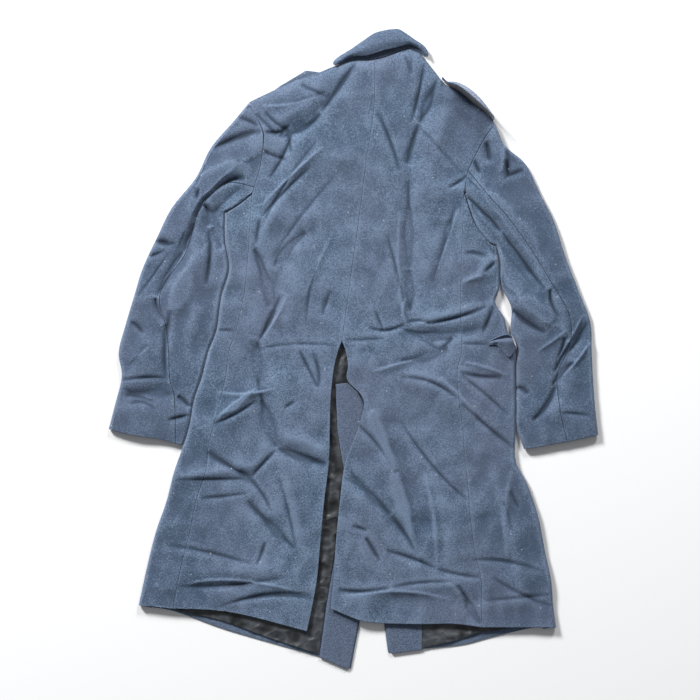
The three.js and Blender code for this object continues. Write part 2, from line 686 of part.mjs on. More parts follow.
addPiece('facing_right', flatSheet(FACING_RIGHT, ON_FRONT, FACING), underWool);
addPiece('vent_underlap', flatSheet(VENT_UNDERLAP, ON_FRONT + LINING + LAYER_GAP, FACING), underWool);

// Collar: the stand lies along the neck and the fall stands up from it and leans back
const COLLAR_NECK = [...LEFT_NECKLINE, ...RIGHT_NECKLINE.slice(1)];
const COLLAR_ROLL = [
  [-41, 570], [-39, 578], [-27, 588], [-7, 600], [19, 618], [45, 634], [85, 641.5], [103, 634],
  [123, 620], [137, 611], [147, 600], [150, 588],
];
const COLLAR_EDGE = [
  [-36, 568], [-21, 577], [-1, 586], [27, 589], [57, 596], [89, 606], [111, 610], [127, 605],
  [139, 595], [147, 585.5],
];
const STAND_END = 8;          // distance of the stand's end from the rolled outline
const NECK_GAP = 1.3;
const FALL_CELLS = { along: 24, up: 8 };

function numericWall(cellsU, cellsV, middle, thickness) {
  const step = 0.002;
  const face = (half) => (u, v) => {
    const p = new THREE.Vector3(...middle(u, v));
    const du = new THREE.Vector3(...middle(Math.min(1, u + step), v));
    du.sub(new THREE.Vector3(...middle(Math.max(0, u - step), v)));
    const dv = new THREE.Vector3(...middle(u, Math.min(1, v + step)));
    dv.sub(new THREE.Vector3(...middle(u, Math.max(0, v - step))));
    const normal = du.cross(dv).normalize();
    return p.addScaledVector(normal, half).toArray();
  };
  return closedWall(cellsU, cellsV, face(thickness / 2), face(-thickness / 2));
}

function addCollar() {
  const neck = shifted(curveThrough(COLLAR_NECK), -NECK_GAP);
  const roll = curveThrough(COLLAR_ROLL);
  const edge = curveThrough(COLLAR_EDGE);
  const standEnd = shifted(roll, STAND_END);
  const plan = patch(neck, standEnd, straight(neck(0), standEnd(0)), straight(neck(1), standEnd(1)));
  const standTop = (u, v) => [...plan(v, u), EDGE_TOP + 1.4 * smooth(v)];
  const standBottom = (u, v) => {
    const [x, y, z] = standTop(u, v);
    return [x, y, z - COLLAR];
  };
  addPiece('collar_stand', closedWall(FALL_CELLS.along, 3, standTop, standBottom), underWool);
  const section = (u, v) => {
    const bow = Math.sin(Math.PI * u) ** 0.7;
    const rise = lerp(13, COLLAR_RISE, bow);
    const [rx, ry] = roll(u);
    const [ex, ey] = edge(u);
    const reach = Math.max(3, Math.hypot(ex - rx, ey - ry));
    const away = COLLAR / 2;
    const path = new THREE.SplineCurve([
      [STAND_END - SEAM_GAP * 1.5, EDGE_TOP - 0.1],
      [3.6, EDGE_TOP + 0.6],
      [away, Math.max(8.5, rise * 0.3)],
      [lerp(away, reach, 0.25), Math.max(11, rise * 0.76)],
      [lerp(away, reach, 0.62), Math.max(12, rise * 0.92)],
      [reach, Math.max(11, rise * 0.72)],
    ].map(([a, z]) => new THREE.Vector2(a, z)));
    const p = path.getPoint(v);
    const [dx, dy] = direction(roll, u);
    const over = smooth((v - 0.3) / 0.5);
    const length = Math.hypot(ex - rx, ey - ry);
    const [ax, ay] = mix([dy, -dx], [(ex - rx) / length, (ey - ry) / length], over);
    return [rx + ax * p.x, ry + ay * p.x, p.y];
  };
  addPiece('collar_fall', numericWall(FALL_CELLS.along, FALL_CELLS.up, section, COLLAR), wool);
}
addCollar();

// Shoulder straps: the right one stands off the shoulder, the left one lies under its shoulder
const STRAP_LEFT = [
  [-179, 504], [-147, 528], [-95, 559], [-71, 556], [-57, 544], [-41, 506], [-151, 464],
];
addPiece('shoulder_strap_left', flatSheet(STRAP_LEFT, 0, STRAP), wool);

function addStandingStrap() {
  const shoulder = curveThrough([
  [175, 541], [185, 529.5], [207, 520], [239, 494], [271, 468], [278, 459],
]);
  const touch = STRAP / 2 + SEAM_GAP + 0.6;
  const middle = (u, v) => {
    const bow = Math.sin(Math.PI * u);
    const lean = 1 + 11 * bow;
    const out = touch + 15 * bow - lean * v;
    const [x, y] = shifted(shoulder, -out)(u);
    return [x, y, 1.4 + Math.sqrt(STRAP_WIDTH ** 2 - lean ** 2) * v];
  };
  addPiece('shoulder_strap_right', numericWall(12, 4, middle, STRAP), wool);
}
addStandingStrap();

// Pocket flap at the right side, twisted into an open loop: lines along it, each with its height over
// the start of the flap
const FLAP_LINES = [
  { name: 'upper edge', rise: 8, line: [
  [269, 16.5], [276, 20.5], [284, 25], [293, 28.5], [302, 31], [309, 31], [315, 27],
] },
  { name: 'hollow', rise: 2.5, line: [
  [269, 15], [277, 18], [285, 21], [294, 23], [303, 25], [310, 25], [316, 23],
] },
  { name: 'ridge', rise: 9, line: [
  [269.5, 13], [277.5, 15], [286, 17], [295, 17], [304, 17], [312, 18], [318, 18.5],
] },
  { name: 'belly', rise: 7, line: [
  [269.5, 11], [278, 13], [286.5, 14], [296.5, 7], [306.5, 2], [315, 6], [321, 11],
] },
  { name: 'tip', rise: 4.5, line: [
  [270, 9.5], [278, 11], [287, 10], [298, -3], [310, -14.5], [319, -5], [324, 6],
] },
];
function addPocketFlap() {
  const lines = FLAP_LINES.map((row) => ({ rise: row.rise, at: curveThrough(row.line) }));
  const [startX, startY] = lines[2].at(0);
  const floor = upperHeight(startX, startY) + STRAP / 2 + SEAM_GAP;
  const middle = (u, v) => {
    const points = lines.map((row) => {
      const [x, y] = row.at(u);
      return new THREE.Vector3(x, y, floor + row.rise * smooth(2 * u));
    });
    return new THREE.CatmullRomCurve3(points, false, 'catmullrom').getPoint(v).toArray();
  };
  addPiece('pocket_flap_right', numericWall(12, 14, middle, STRAP), wool);
}
addPocketFlap();

export default coat;
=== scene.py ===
# Military greatcoat in heavy blue-grey wool, laid flat on a pale surface with its back up.
# Sizes are in millimetres and heights are above the surface, until a mesh is made in metres.
import math

import bpy
import numpy as np
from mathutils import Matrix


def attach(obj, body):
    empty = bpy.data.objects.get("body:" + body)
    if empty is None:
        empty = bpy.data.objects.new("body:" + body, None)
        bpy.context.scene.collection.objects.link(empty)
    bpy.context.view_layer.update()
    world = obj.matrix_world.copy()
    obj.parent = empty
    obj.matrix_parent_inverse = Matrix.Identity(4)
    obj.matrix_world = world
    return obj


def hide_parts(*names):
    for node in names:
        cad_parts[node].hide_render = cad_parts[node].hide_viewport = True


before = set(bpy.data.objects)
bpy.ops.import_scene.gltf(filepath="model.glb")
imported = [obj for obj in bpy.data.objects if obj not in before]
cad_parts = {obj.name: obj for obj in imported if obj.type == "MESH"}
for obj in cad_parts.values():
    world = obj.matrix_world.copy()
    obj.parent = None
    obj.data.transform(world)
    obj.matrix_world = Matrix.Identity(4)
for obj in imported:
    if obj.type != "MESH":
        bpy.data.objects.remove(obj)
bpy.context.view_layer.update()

# Thickness of each cloth, gaps between pieces, and heights of the upper layer
WOOL = 2.6
LINING = 1.0
FACING = 2.4
COLLAR = 3.0
STRAP = 2.4
LAYER_GAP = 0.4
SEAM_GAP = 0.3
HALF_SEAM = 0.12
HALF_ARMHOLE = 0.3
HALF_SLEEVE_SEAM = 0.45
HALF_UNDERARM = 0.6
REST_TOP = 12.6
EDGE_TOP = 5.6
SHOULDER_FALL = 24
ROLL = 6
PLATE_INSET = 14
PLATE_ARMHOLE_GAP = 2.4
SIDE_CLEARANCE = 0.6
COLLAR_RISE = 17
STRAP_WIDTH = 48
LOWEST_TOP = WOOL * 2 + LAYER_GAP * 2
ON_FRONT = WOOL + LAYER_GAP

# Cells of the cloth meshes, and how many go round a rolled edge
SIZE_OF_CELLS = 1
CELL_BACK = 2.45 * SIZE_OF_CELLS
CELL_SLEEVE = 2.5 * SIZE_OF_CELLS
CELL_STRIP = 2.8 * SIZE_OF_CELLS
CELL_HIDDEN = 9 * SIZE_OF_CELLS
CELL_SMALL = 1.6 * SIZE_OF_CELLS
CELL_SATIN = 2.8 * SIZE_OF_CELLS
CELL_SATIN_HEM = 3 * SIZE_OF_CELLS
CELL_FACING = 5
CELL_FLAT = 4
ROLL_CELLS = 10

# Rounded cut edge: distance from the edge and share of the full thickness
EDGE_DISTANCE = (0.0, 0.35, 1.0)
EDGE_FULLNESS = (0.4, 0.82, 1.0)


# Tables: each row becomes a record with the names of its columns
def as_rows(columns, rows):
    return [dict(zip(columns, row)) for row in rows]


# Body sections: level, side seam, folded side edge
SIDE_COLUMNS = ("level", "seam", "edge")
LEFT_SIDE = as_rows(SIDE_COLUMNS, [
    (220, -208.5, -257),
    (162, -213, -249),
    (108, -219, -264),
    (38, -235, -275),
    (-4, -249, -291),
    (-52, -255, -303),
    (-100, -266, -319),
    (-146, -278, -327),
    (-188, -289, -339),
    (-242, -295, -358),
    (-300, -314, -373),
    (-364, -327, -395),
    (-436, -345, -413),
    (-510, -359, -429),
])
RIGHT_SIDE = as_rows(SIDE_COLUMNS, [
    (164, 215, 291),
    (122, 214, 291),
    (96, 213, 283),
    (64, 214, 301),
    (32, 216, 309),
    (-4, 216, 323),
    (-44, 207, 323),
    (-100, 211, 324),
    (-160, 218, 324),
    (-220, 223, 324),
    (-268, 228, 347),
    (-332, 233, 369),
    (-404, 243, 383),
    (-460, 255, 395),
    (-510, 255, 399),
    (-554, 257, 405),
])

# Centre-back seam: place and level, from the neck to the head of the vent
CENTRE_BACK = [(43, 580), (41, 488), (25, 374), (13, 278), (-3, 162), (-19, 46), (-23, 18)]

# Vent: level, edge of the left back, edge of the right back
VENT = as_rows(("level", "left", "right"), [
    (18, -23, -23),
    (-4, -31, -15),
    (-32, -38, -11),
    (-60, -42, -12),
    (-100, -45.5, 20),
    (-156, -47, 9),
    (-226, -49, -17),
    (-300, -58, -27),
    (-380, -65.5, -35),
    (-460, -73, -40.5),
    (-516, -83, -45.8),
])
VENT_LEFT_END = (-93, -562)

# Hem and shoulder lines, armholes
LEFT_HEM = [[-359, -514], [-285, -518], [-213, -530], [-94, -562]]
RIGHT_HEM = [[-46, -516], [13, -540], [59, -546], [137, -548], [205, -548], [257, -555]]
LEFT_SHOULDER = [[-209, 494], [-199, 500], [-157, 520], [-115, 540], [-71, 554], [-41, 566], [-7, 576]]
LEFT_NECKLINE = [[-7, 576], [9, 578], [29, 578], [43, 580]]
RIGHT_NECKLINE = [[43, 580], [61, 584], [91, 595], [113, 601], [133, 594]]
RIGHT_SHOULDER = [[133, 594], [161, 558], [183, 531], [207, 520], [239, 494], [271, 468], [283, 452]]
LEFT_ARMHOLE = [[-209, 494], [-199, 472], [-184, 446], [-179, 420], [-187, 364], [-203, 310]]
LEFT_UNDERARM = [[-203, 310], [-231, 288], [-257, 274]]
RIGHT_ARMHOLE = [[283, 452], [265, 428], [249, 400], [237, 376], [227, 352], [221, 312]]
RIGHT_UNDERARM = [[221, 312], [241, 254], [267, 218], [285, 208]]

# Sleeve sections from shoulder to cuff: outer edge, hind-arm seam, inner edge
LEFT_SLEEVE = [
    ([-209, 494], [-199, 324], [-257, 274]),
    ([-239, 458], [-249, 334], [-258, 226]),
    ([-285, 404], [-285, 308], [-257, 184]),
    ([-315, 344], [-311, 272], [-252, 160]),
    ([-363, 284], [-323, 232], [-265, 110]),
    ([-393, 224], [-339, 186], [-273, 68]),
    ([-421, 164], [-379, 132], [-281, 28]),
    ([-437, 112], [-387, 92], [-293, -2]),
    ([-455, 52], [-375, 48], [-305, -50]),
    ([-469, -4], [-369, -4], [-315, -82]),
    ([-463, -52], [-367, -56], [-323, -108]),
    ([-475, -104], [-357, -100], [-329, -144]),
    ([-489, -158], [-351, -186], [-341, -190]),
]
RIGHT_SLEEVE = [
    ([283, 452], [227, 356], [285, 208]),
    ([303, 408], [271, 306], [293.5, 176]),
    ([343, 372], [293, 282], [294, 132]),
    ([375, 308], [315, 256], [315, 84]),
    ([401, 256], [357, 196], [314, 40]),
    ([423, 188], [395, 134], [325.5, 8]),
    ([449, 120], [427, 80], [325, -24]),
    ([473, 56], [435, 40], [325, -60]),
    ([476, -4], [427, -4], [325, -92]),
    ([479, -64], [407, -52], [325.5, -120]),
    ([483, -116], [413, -124], [326, -156]),
    ([489, -170], [431, -184], [341, -199]),
]
LEFT_CUFF = [[-489, -158], [-453, -168], [-389, -178], [-341, -190]]
RIGHT_CUFF = [[489, -170], [433, -182], [341, -199]]


# Folds of the upper layer: start, bend and end, rise, widths to the left and right of the run
FOLD_COLUMNS = ("start_x", "start_y", "bend_x", "bend_y", "end_x", "end_y", "rise", "left", "right")
LARGE_FOLDS = as_rows(FOLD_COLUMNS, [
    # Shoulders and blades
    (-3, 560, -63, 476, -145, 426, -3, 16, 20),
    (-71, 510, -127, 464, -183, 444, 4, 24, 24),
    (-103, 380, -155, 308, -183, 220, 4, 22, 26),
    (165, 540, 129, 440, 109, 368, -3, 16, 16),
    (189, 500, 161, 400, 141, 300, 4, 26, 30),
    # Waist
    (-91, 236, -143, 196, -163, 108, -3, 16, 16),
    (-107, 176, -123, 100, -139, 40, 4, 30, 24),
    (-201, 202, -171, 136, -171, 80, -3, 14, 14),
    (-189, 20, -199, -36, -159, -172, -3, 16, 22),
    (109, 368, 111, 220, 113, 60, -3, 16, 18),
    (205, 290, 185, 210, 157, 134, -2.5, 16, 16),
    (217, 136, 245, 148, 285, 178, 4, 16, 20),
    (133, 56, 203, 66, 269, 90, 5, 18, 14),
    (93, 32, 173, 24, 265, 48, -3, 12, 16),
    (93, -22, 149, -12, 193, 6, -3, 12, 20),
    (97, -54, 173, -48, 265, -156, 5, 18, 22),
    # Skirt
    (-279, -140, -235, -120, -183, -72, 5, 18, 26),
    (-163, -160, -151, -210, -51, -230, -3, 16, 16),
    (-143, -172, -99, -180, -55, -200, 4, 22, 16),
    (-291, -204, -249, -232, -205, -256, -3, 14, 14),
    (-355, -258, -279, -244, -203, -232, 4, 18, 14),
    (-211, -300, -175, -340, -115, -396, -3, 16, 16),
    (-143, -260, -123, -324, -107, -392, 4, 20, 20),
    (-371, -432, -263, -448, -127, -440, 3, 24, 24),
    (37, -118, 61, -180, 129, -408, 6, 16, 26),
    (-21, -236, 49, -300, 125, -400, -3, 16, 16),
    (153, -240, 185, -340, 197, -480, 4, 30, 30),
    (-3, -492, 93, -468, 205, -464, 4, 22, 18),
    (277, -240, 309, -340, 333, -480, 4, 24, 24),
    # Left sleeve
    (-183, 436, -227, 432, -279, 408, 3, 12, 18),
    (-227, 372, -295, 348, -335, 244, 10, 17, 28),
    (-311, 188, -355, 128, -361, 68, 9, 28, 15),
    (-407, 40, -415, -20, -423, -80, 4, 34, 34),
    (-457, -92, -411, -80, -351, -92, -3, 14, 14),
    (-315, 120, -323, 40, -335, -40, 4, 24, 24),
    # Right sleeve
    (287, 448, 297, 400, 293, 344, 4, 18, 18),
    (257, 316, 317, 260, 389, 148, 10, 28, 17),
    (373, 148, 425, 80, 425, 20, 6, 24, 20),
    (469, 48, 425, -4, 405, -72, -3, 12, 12),
    (333, 104, 369, 74, 397, 52, 9, 24, 15),
    (437, -68, 417, -100, 389, -148, 4, 26, 26),
])

# Finer creases, each drawn as it lies on the coat
CREASES = as_rows(FOLD_COLUMNS, [
    # Upper back, left
    (7, 578, -27, 524, -65, 474, -2.5, 7, 7),
    (-65, 474, -83, 440, -149, 424, -2.5, 7, 9),
    (-195, 472, -171, 448, -149, 424, -2, 5, 5),
    (-127, 450, -139, 438, -149, 424, -1.5, 5, 5),
    (-123, 430, -139, 380, -169, 342, -2, 6, 6),
    (-85, 366, -147, 310, -185, 264, -2, 7, 7),
    (-177, 476, -159, 452, -131, 438, -2, 4, 5),
    (-139, 488, -99, 498, -55, 516, -1.3, 5, 6),
    (-131, 444, -127, 420, -125, 394, -1.5, 4, 5),
    (-57, 408, -115, 360, -183, 288, 1.5, 6, 5),
    (-107, 532, -83, 516, -47, 504, -1.4, 5, 5),
    (-183, 488, -139, 480, -71, 508, 1.4, 4, 5),
    (-175, 436, -155, 428, -133, 442, -2, 4, 4),
    (-183, 400, -159, 384, -131, 380, -1.6, 4, 4),
    (-71, 420, -139, 340, -189, 236, -1.2, 5, 7),
    (-35, 348, -107, 272, -167, 176, -0.9, 6, 8),
    # Upper back, right
    (167, 542, 149, 484, 131, 452, -2.5, 7, 9),
    (131, 452, 115, 410, 107, 370, -2.5, 7, 9),
    (189, 324, 209, 332, 227, 348, -1.5, 4, 4),
    (203, 290, 185, 210, 157, 134, -1.5, 6, 8),
    (265, 416, 271, 396, 271, 376, -3, 7, 7),
    (241, 380, 247, 364, 253, 352, -2, 4, 4),
    (49, 474, 75, 424, 93, 356, -1.8, 4, 6),
    (113, 598, 115, 576, 117, 552, -0.8, 2.6, 2.6),
    (141, 572, 135, 516, 115, 452, -2, 4, 6),
    (103, 588, 111, 572, 115, 548, -1.2, 3, 4),
    (133, 444, 173, 400, 221, 348, -0.7, 5, 5),
    # Waist, left
    (-185, 264, -193, 236, -195, 210, -1.5, 6, 6),
    (-93, 236, -137, 204, -161, 164, -2.5, 6, 9),
    (-201, 202, -175, 164, -169, 84, -2, 5, 5),
    (-145, 112, -163, 64, -189, 20, -2, 8, 8),
    (-189, 20, -199, -24, -187, -84, -2, 7, 7),
    (-81, -6, -63, -44, -71, -76, -1.5, 6, 6),
    (-201, 214, -171, 150, -157, 82, -1.5, 4, 5),
    (-157, 82, -167, 48, -189, 18, -2, 4, 5),
    (-131, 114, -147, 64, -183, 24, 1.5, 5, 5),
    (-45, 120, -55, 94, -63, 68, -1, 5, 5),
    (-109, 0, -87, -40, -71, -76, -1.5, 4, 4),
    (-273, 40, -255, 39, -235, 38, -1, 2.6, 2.6),
    (-39, 236, -71, 176, -99, 100, 0.8, 5, 6),
    (-71, 176, -91, 120, -95, 48, -0.8, 4, 5),
    (-191, 0, -127, 20, -31, 8, -0.8, 4, 4),
    # Waist, right
    (109, 340, 113, 240, 111, 162, -2, 7, 9),
    (111, 162, 115, 110, 113, 76, -2, 5, 7),
    (105, 104, 93, 76, 107, 48, 1.5, 3, 3),
    (221, 194, 243, 196, 265, 188, -1.5, 4, 4),
    (261, 156, 273, 166, 285, 178, -2.5, 4, 5),
    (217, 134, 237, 144, 259, 148, 2, 4, 6),
    (143, 52, 211, 60, 267, 88, -3, 8, 5),
    (279, 88, 273, 64, 257, 34, -2, 4, 4),
    (93, 44, 149, 24, 199, 20, -2, 5, 7),
    (93, -22, 149, -14, 189, 6, -3, 4, 10),
    (93, -54, 163, -52, 215, -104, -2.5, 5, 8),
    (211, -44, 253, -56, 297, -54, -2, 4, 6),
    (-17, 20, 23, 20, 63, 24, -1, 5, 5),
    (67, 232, 83, 176, 105, 82, -1.3, 4, 6),
    (211, 284, 181, 200, 161, 140, 1.2, 5, 5),
    (31, 46, 65, 28, 105, 54, -2, 4, 4),
    (105, 54, 129, 64, 155, 52, -1.5, 4, 4),
    (43, 78, 53, 56, 61, 34, -1.5, 3, 4),
    (137, 26, 157, 8, 177, -6, -1.8, 3.5, 4),
    (37, -44, 109, -24, 177, 2, 1.8, 5, 7),
    (177, 2, 189, 14, 199, 26, -1.5, 4, 4),
    (221, -24, 265, -34, 309, -52, 1.3, 4, 4),
    (217, 13, 243, 12, 267, 11, -1.2, 2.6, 2.6),
    (93, 276, 85, 176, 99, 64, 1.2, 7, 6),
    # Skirt, left
    (-187, -84, -175, -124, -157, -178, -2, 6, 6),
    (-273, -136, -235, -108, -195, -76, 2.5, 5, 8),
    (-185, -100, -167, -150, -153, -196, -2, 5, 7),
    (-153, -196, -105, -210, -53, -228, -3, 4, 9),
    (-291, -204, -249, -232, -205, -256, -2, 5, 6),
    (-155, -200, -181, -228, -205, -254, -2, 4, 6),
    (-359, -258, -283, -260, -205, -256, -1.5, 4, 6),
    (-305, -296, -259, -294, -213, -286, -1.5, 5, 5),
    (-213, -300, -171, -344, -117, -396, -2, 5, 9),
    (-149, -254, -127, -320, -115, -396, -1.5, 6, 8),
    (-373, -390, -307, -396, -199, -428, -1.5, 6, 6),
    (-355, -472, -247, -476, -141, -454, -1.5, 6, 6),
    (-241, -504, -167, -476, -81, -490, -1.5, 5, 6),
    (-281, -148, -235, -132, -193, -100, -1.6, 4, 5),
    (-193, -430, -183, -404, -175, -382, -1.5, 3.5, 4),
    (-139, -116, -127, -110, -115, -100, -1.2, 3.5, 3.5),
    (-277, -84, -211, -96, -155, -76, 1.5, 4, 6),
    (-227, -240, -183, -272, -163, -324, -1.6, 4, 5),
    (-335, -468, -247, -444, -107, -484, 1.5, 4, 5),
    (-267, -512, -183, -480, -75, -496, -1.1, 4, 5),
    # Skirt, right
    (215, -104, 249, -140, 323, -198, -2.5, 5, 8),
    (37, -118, 61, -180, 87, -242, 3, 5, 12),
    (87, -242, 105, -320, 127, -408, 3, 5, 14),
    (-21, -236, 33, -286, 75, -328, -2, 5, 7),
    (75, -328, 109, -368, 127, -408, -1.5, 5, 7),
    (65, -400, 119, -414, 165, -436, -2, 5, 6),
    (165, -436, 205, -450, 255, -454, -1.5, 5, 6),
    (-31, -478, 13, -488, 75, -474, -2.5, 5, 7),
    (75, -474, 125, -462, 201, -462, -1.5, 5, 7),
    (211, -486, 233, -516, 255, -550, -1.5, 6, 8),
    (-3, -350, 13, -356, 29, -360, -1.5, 3, 4),
    (23, -374, 35, -394, 47, -414, -1.5, 4, 4),
    (215, -50, 261, -84, 309, -130, -1.6, 4, 5),
    (169, -56, 213, -84, 245, -136, 2, 5, 8),
    (313, -280, 321, -300, 331, -316, -1.5, 3.5, 4),
    (299, -300, 309, -332, 315, -360, -1.2, 3.5, 4),
    (275, -452, 333, -492, 399, -514, -1.4, 4, 5),
    (261, -500, 323, -496, 393, -488, -1.2, 4, 5),
    (207, -468, 229, -496, 245, -530, -2, 3.5, 4),
    (223, -498, 239, -520, 255, -546, -1.8, 3.5, 4),
    (189, -464, 213, -488, 225, -512, 1.4, 3.5, 4),
    (25, -374, 41, -398, 53, -422, -1.8, 3.5, 4),
    (93, -140, 153, -240, 233, -304, -1.3, 5, 6),
    (-3, -140, 53, -180, 85, -248, -1.5, 4, 5),
    (141, -240, 169, -340, 165, -432, 1.2, 5, 6),
    (-3, -492, 93, -468, 197, -500, 1.4, 4, 5),
    (233, -420, 293, -412, 373, -440, -1.4, 4, 5),
    (317, -240, 293, -324, 309, -420, 1.4, 5, 5),
    # Left sleeve
    (-215, 342, -251, 346, -283, 312, -3.3, 5, 8),
    (-279, 316, -313, 292, -315, 256, -3.3, 5, 8),
    (-315, 260, -327, 220, -337, 196, -3.3, 5, 8),
    (-307, 322, -311, 312, -313, 298, -3, 6, 6),
    (-299, 292, -279, 268, -259, 224, -5, 3, 5),
    (-283, 244, -267, 224, -263, 200, -3, 9, 9),
    (-291, 242, -279, 200, -295, 128, -3, 6, 6),
    (-337, 200, -371, 152, -393, 104, -3.3, 5, 8),
    (-395, 104, -395, 88, -377, 54, -3.3, 5, 8),
    (-363, 80, -383, 20, -373, -62, -3.3, 5, 8),
    (-411, 10, -431, -12, -451, -32, -1.5, 4, 4),
    (-351, -92, -339, -100, -327, -114, -3.5, 5, 5),
    (-371, -140, -351, -136, -329, -130, -2.5, 4, 4),
    (-181, 438, -227, 432, -283, 400, -4, 8, 8),
    (-235, 466, -211, 460, -189, 446, -2, 5, 5),
    (-415, 228, -391, 212, -367, 216, -2.5, 6, 6),
    (-457, -92, -415, -80, -363, -88, -2, 4, 4),
    (-447, -108, -419, -96, -395, -120, -1.5, 4, 4),
    (-215, 328, -271, 300, -303, 228, -2, 14, 14),
    (-367, 196, -399, 148, -433, 104, -0.9, 3, 3),
    (-399, 220, -377, 206, -355, 214, -1.8, 4, 4),
    (-421, 184, -399, 186, -375, 200, -1.5, 4, 4),
    (-445, 56, -431, 50, -419, 32, -2, 5, 5),
    (-451, -28, -429, -8, -409, 4, 1.5, 3.5, 4),
    (-467, -62, -421, -52, -375, -56, -1.8, 3.5, 4),
    (-459, -76, -427, -96, -395, -104, -1.5, 3.5, 4),
    # Right sleeve
    (221, 312, 265, 272, 297, 234, -3.3, 5, 8),
    (297, 236, 329, 188, 383, 120, -3.3, 5, 8),
    (239, 292, 245, 256, 263, 226, -3, 4, 4),
    (265, 224, 281, 204, 289, 176, -4, 5, 5),
    (291, 176, 293, 140, 309, 104, -3, 6, 6),
    (311, 88, 341, 54, 385, 34, -3.3, 5, 8),
    (393, 122, 389, 94, 409, 66, -3.5, 3.5, 3.5),
    (431, 14, 411, -26, 401, -44, -3, 3.5, 3.5),
    (469, 58, 447, 14, 415, -22, -1.5, 4, 4),
    (475, 20, 447, -28, 415, -54, 2, 4, 4),
    (441, -24, 413, -44, 397, -72, -4, 4, 4),
    (405, -68, 393, -112, 357, -142, -4, 5, 5),
    (323, -76, 341, -76, 349, -88, -3, 4, 4),
    (417, -126, 441, -126, 473, -132, -1.5, 4, 4),
    (299, 442, 305, 396, 297, 352, 2.5, 4, 5),
    (303, 380, 307, 364, 309, 346, -2.5, 6, 6),
    (341, 358, 321, 354, 299, 342, -2, 4, 4),
    (225, 284, 285, 220, 365, 120, -2, 16, 16),
    (365, -4, 397, 16, 427, 40, 1.6, 5, 6),
    (421, 26, 423, 8, 405, -20, -2.5, 3.5, 4),
    (459, 72, 437, 24, 405, -22, 1.6, 3.5, 4),
])

# Low swell of the whole upper layer over the hidden layers: centre, radii, rise
SWELLS = as_rows(("x", "y", "across", "along", "rise"), [
    (40, 470, 190, 120, 3),
    (-20, -130, 110, 130, 1.6),
    (300, 40, 60, 90, 1.5),
])

# Soft unevenness of cloth that lies loose: wave length, direction, phase, rise
WAVES = as_rows(("length", "turn", "phase", "rise"), [
    (173, 20, 0.4, 0.5),
    (118, 75, 2.1, 0.45),
    (91, 130, 4.0, 0.35),
    (64, 40, 1.2, 0.25),
    (52, 100, 5.1, 0.22),
    (37, 160, 3.3, 0.14),
    (29, 15, 0.9, 0.10),
])

# How the folds are laid on: the softness is 2 for a round fold and 1 for a sharp one
FOLD_STEPS = 8
FOLD_REACH = 3.6
FOLD_DEPTH = 1.25
FOLD_SOFTNESS = 1.6
CREASE_DEPTH = 2.5
CREASE_WIDTH = 0.85
CREASE_SOFTNESS = 1.1
CRUMPLE_DEPTH = 1.1
CRUMPLE_SOFTNESS = 1.2
SKIRT_BELOW = 10
SKIRT_LOWEST = 8.2
VENT_ZONE = {"left": -62, "right": 48, "low": -262, "high": -30, "border": 20, "top": 10.6}


# Curves: each is a function of shares of its length, from 0 to 1
CURVE_STEPS = 1200


def between(points, i, w):
    a, b, c, d = points[i], points[i + 1], points[i + 2], points[i + 3]
    slope_b = (c - a) / 2
    slope_c = (d - b) / 2
    bend = (2 * b - 2 * c + slope_b + slope_c) * w**3 + (-3 * b + 3 * c - 2 * slope_b - slope_c) * w**2
    return bend + slope_b * w + b


def with_ends_doubled(points):
    return np.concatenate([points[:1], points, points[-1:]])


def read_at(s, places, line):
    return np.stack([np.interp(s, places, line[:, 0]), np.interp(s, places, line[:, 1])], axis=-1)


def broken_line(points):
    line = np.array(points, float)
    reached = np.concatenate([[0], np.cumsum(np.hypot(*np.diff(line, axis=0).T))])
    reached /= reached[-1]
    return lambda s: read_at(s, reached, line)


def curve_through(points):
    p = with_ends_doubled(np.array(points, float))
    t = np.linspace(0, len(p) - 3, CURVE_STEPS + 1)
    i = np.minimum(t.astype(int), len(p) - 4)
    return broken_line(between(p, i, (t - i)[:, None]))


def straight(p, q):
    return broken_line([p, q])


def joined(first, second, share):
    def curve(s):
        s = np.asarray(s, float)
        early = first(np.clip(s / share, 0, 1))
        late = second(np.clip((s - share) / (1 - share), 0, 1))
        return np.where((s <= share)[..., None], early, late)

    return curve


def part(curve, start, end):
    return lambda s: curve(start + (end - start) * np.asarray(s, float))


def direction(curve, s):
    s = np.asarray(s, float)
    run = curve(np.minimum(1, s + 0.01)) - curve(np.maximum(0, s - 0.01))
    return run / np.linalg.norm(run, axis=-1, keepdims=True)


# Moves a curve sideways: to its right hand where the amount is positive
def shifted(curve, amount):
    def moved(s):
        run = direction(curve, s)
        return curve(s) + amount * np.stack([run[..., 1], -run[..., 0]], axis=-1)

    return moved


def share_at(curve, level):
    s = np.linspace(0, 1, 2001)
    return float(np.interp(-level, -curve(s)[:, 1], s))


def smooth(t):
    c = np.clip(t, 0, 1)
    return c * c * (3 - 2 * c)


# Height of the upper layer
def fold_line(row):
    t = np.linspace(0, 1, FOLD_STEPS + 1)[:, None]
    start = np.array([row["start_x"], row["start_y"]])
    bend = np.array([row["bend_x"], row["bend_y"]])
    end = np.array([row["end_x"], row["end_y"]])
    return (1 - t) ** 2 * start + 2 * t * (1 - t) * bend + t**2 * end


def nearest_on(line, points):
    distance = np.full(len(points), np.inf)
    along = np.zeros(len(points))
    side = np.ones(len(points))
    for i in range(len(line) - 1):
        run = line[i + 1] - line[i]
        offset = points - line[i]
        s = np.clip(offset @ run / (run @ run), 0, 1)
        gap = offset - s[:, None] * run
        here = np.hypot(gap[:, 0], gap[:, 1])
        nearer = here < distance
        left_hand = np.where(run[0] * gap[:, 1] - run[1] * gap[:, 0] < 0, -1, 1)
        distance = np.where(nearer, here, distance)
        along = np.where(nearer, (i + s) / (len(line) - 1), along)
        side = np.where(nearer, left_hand, side)
    return distance, along, side


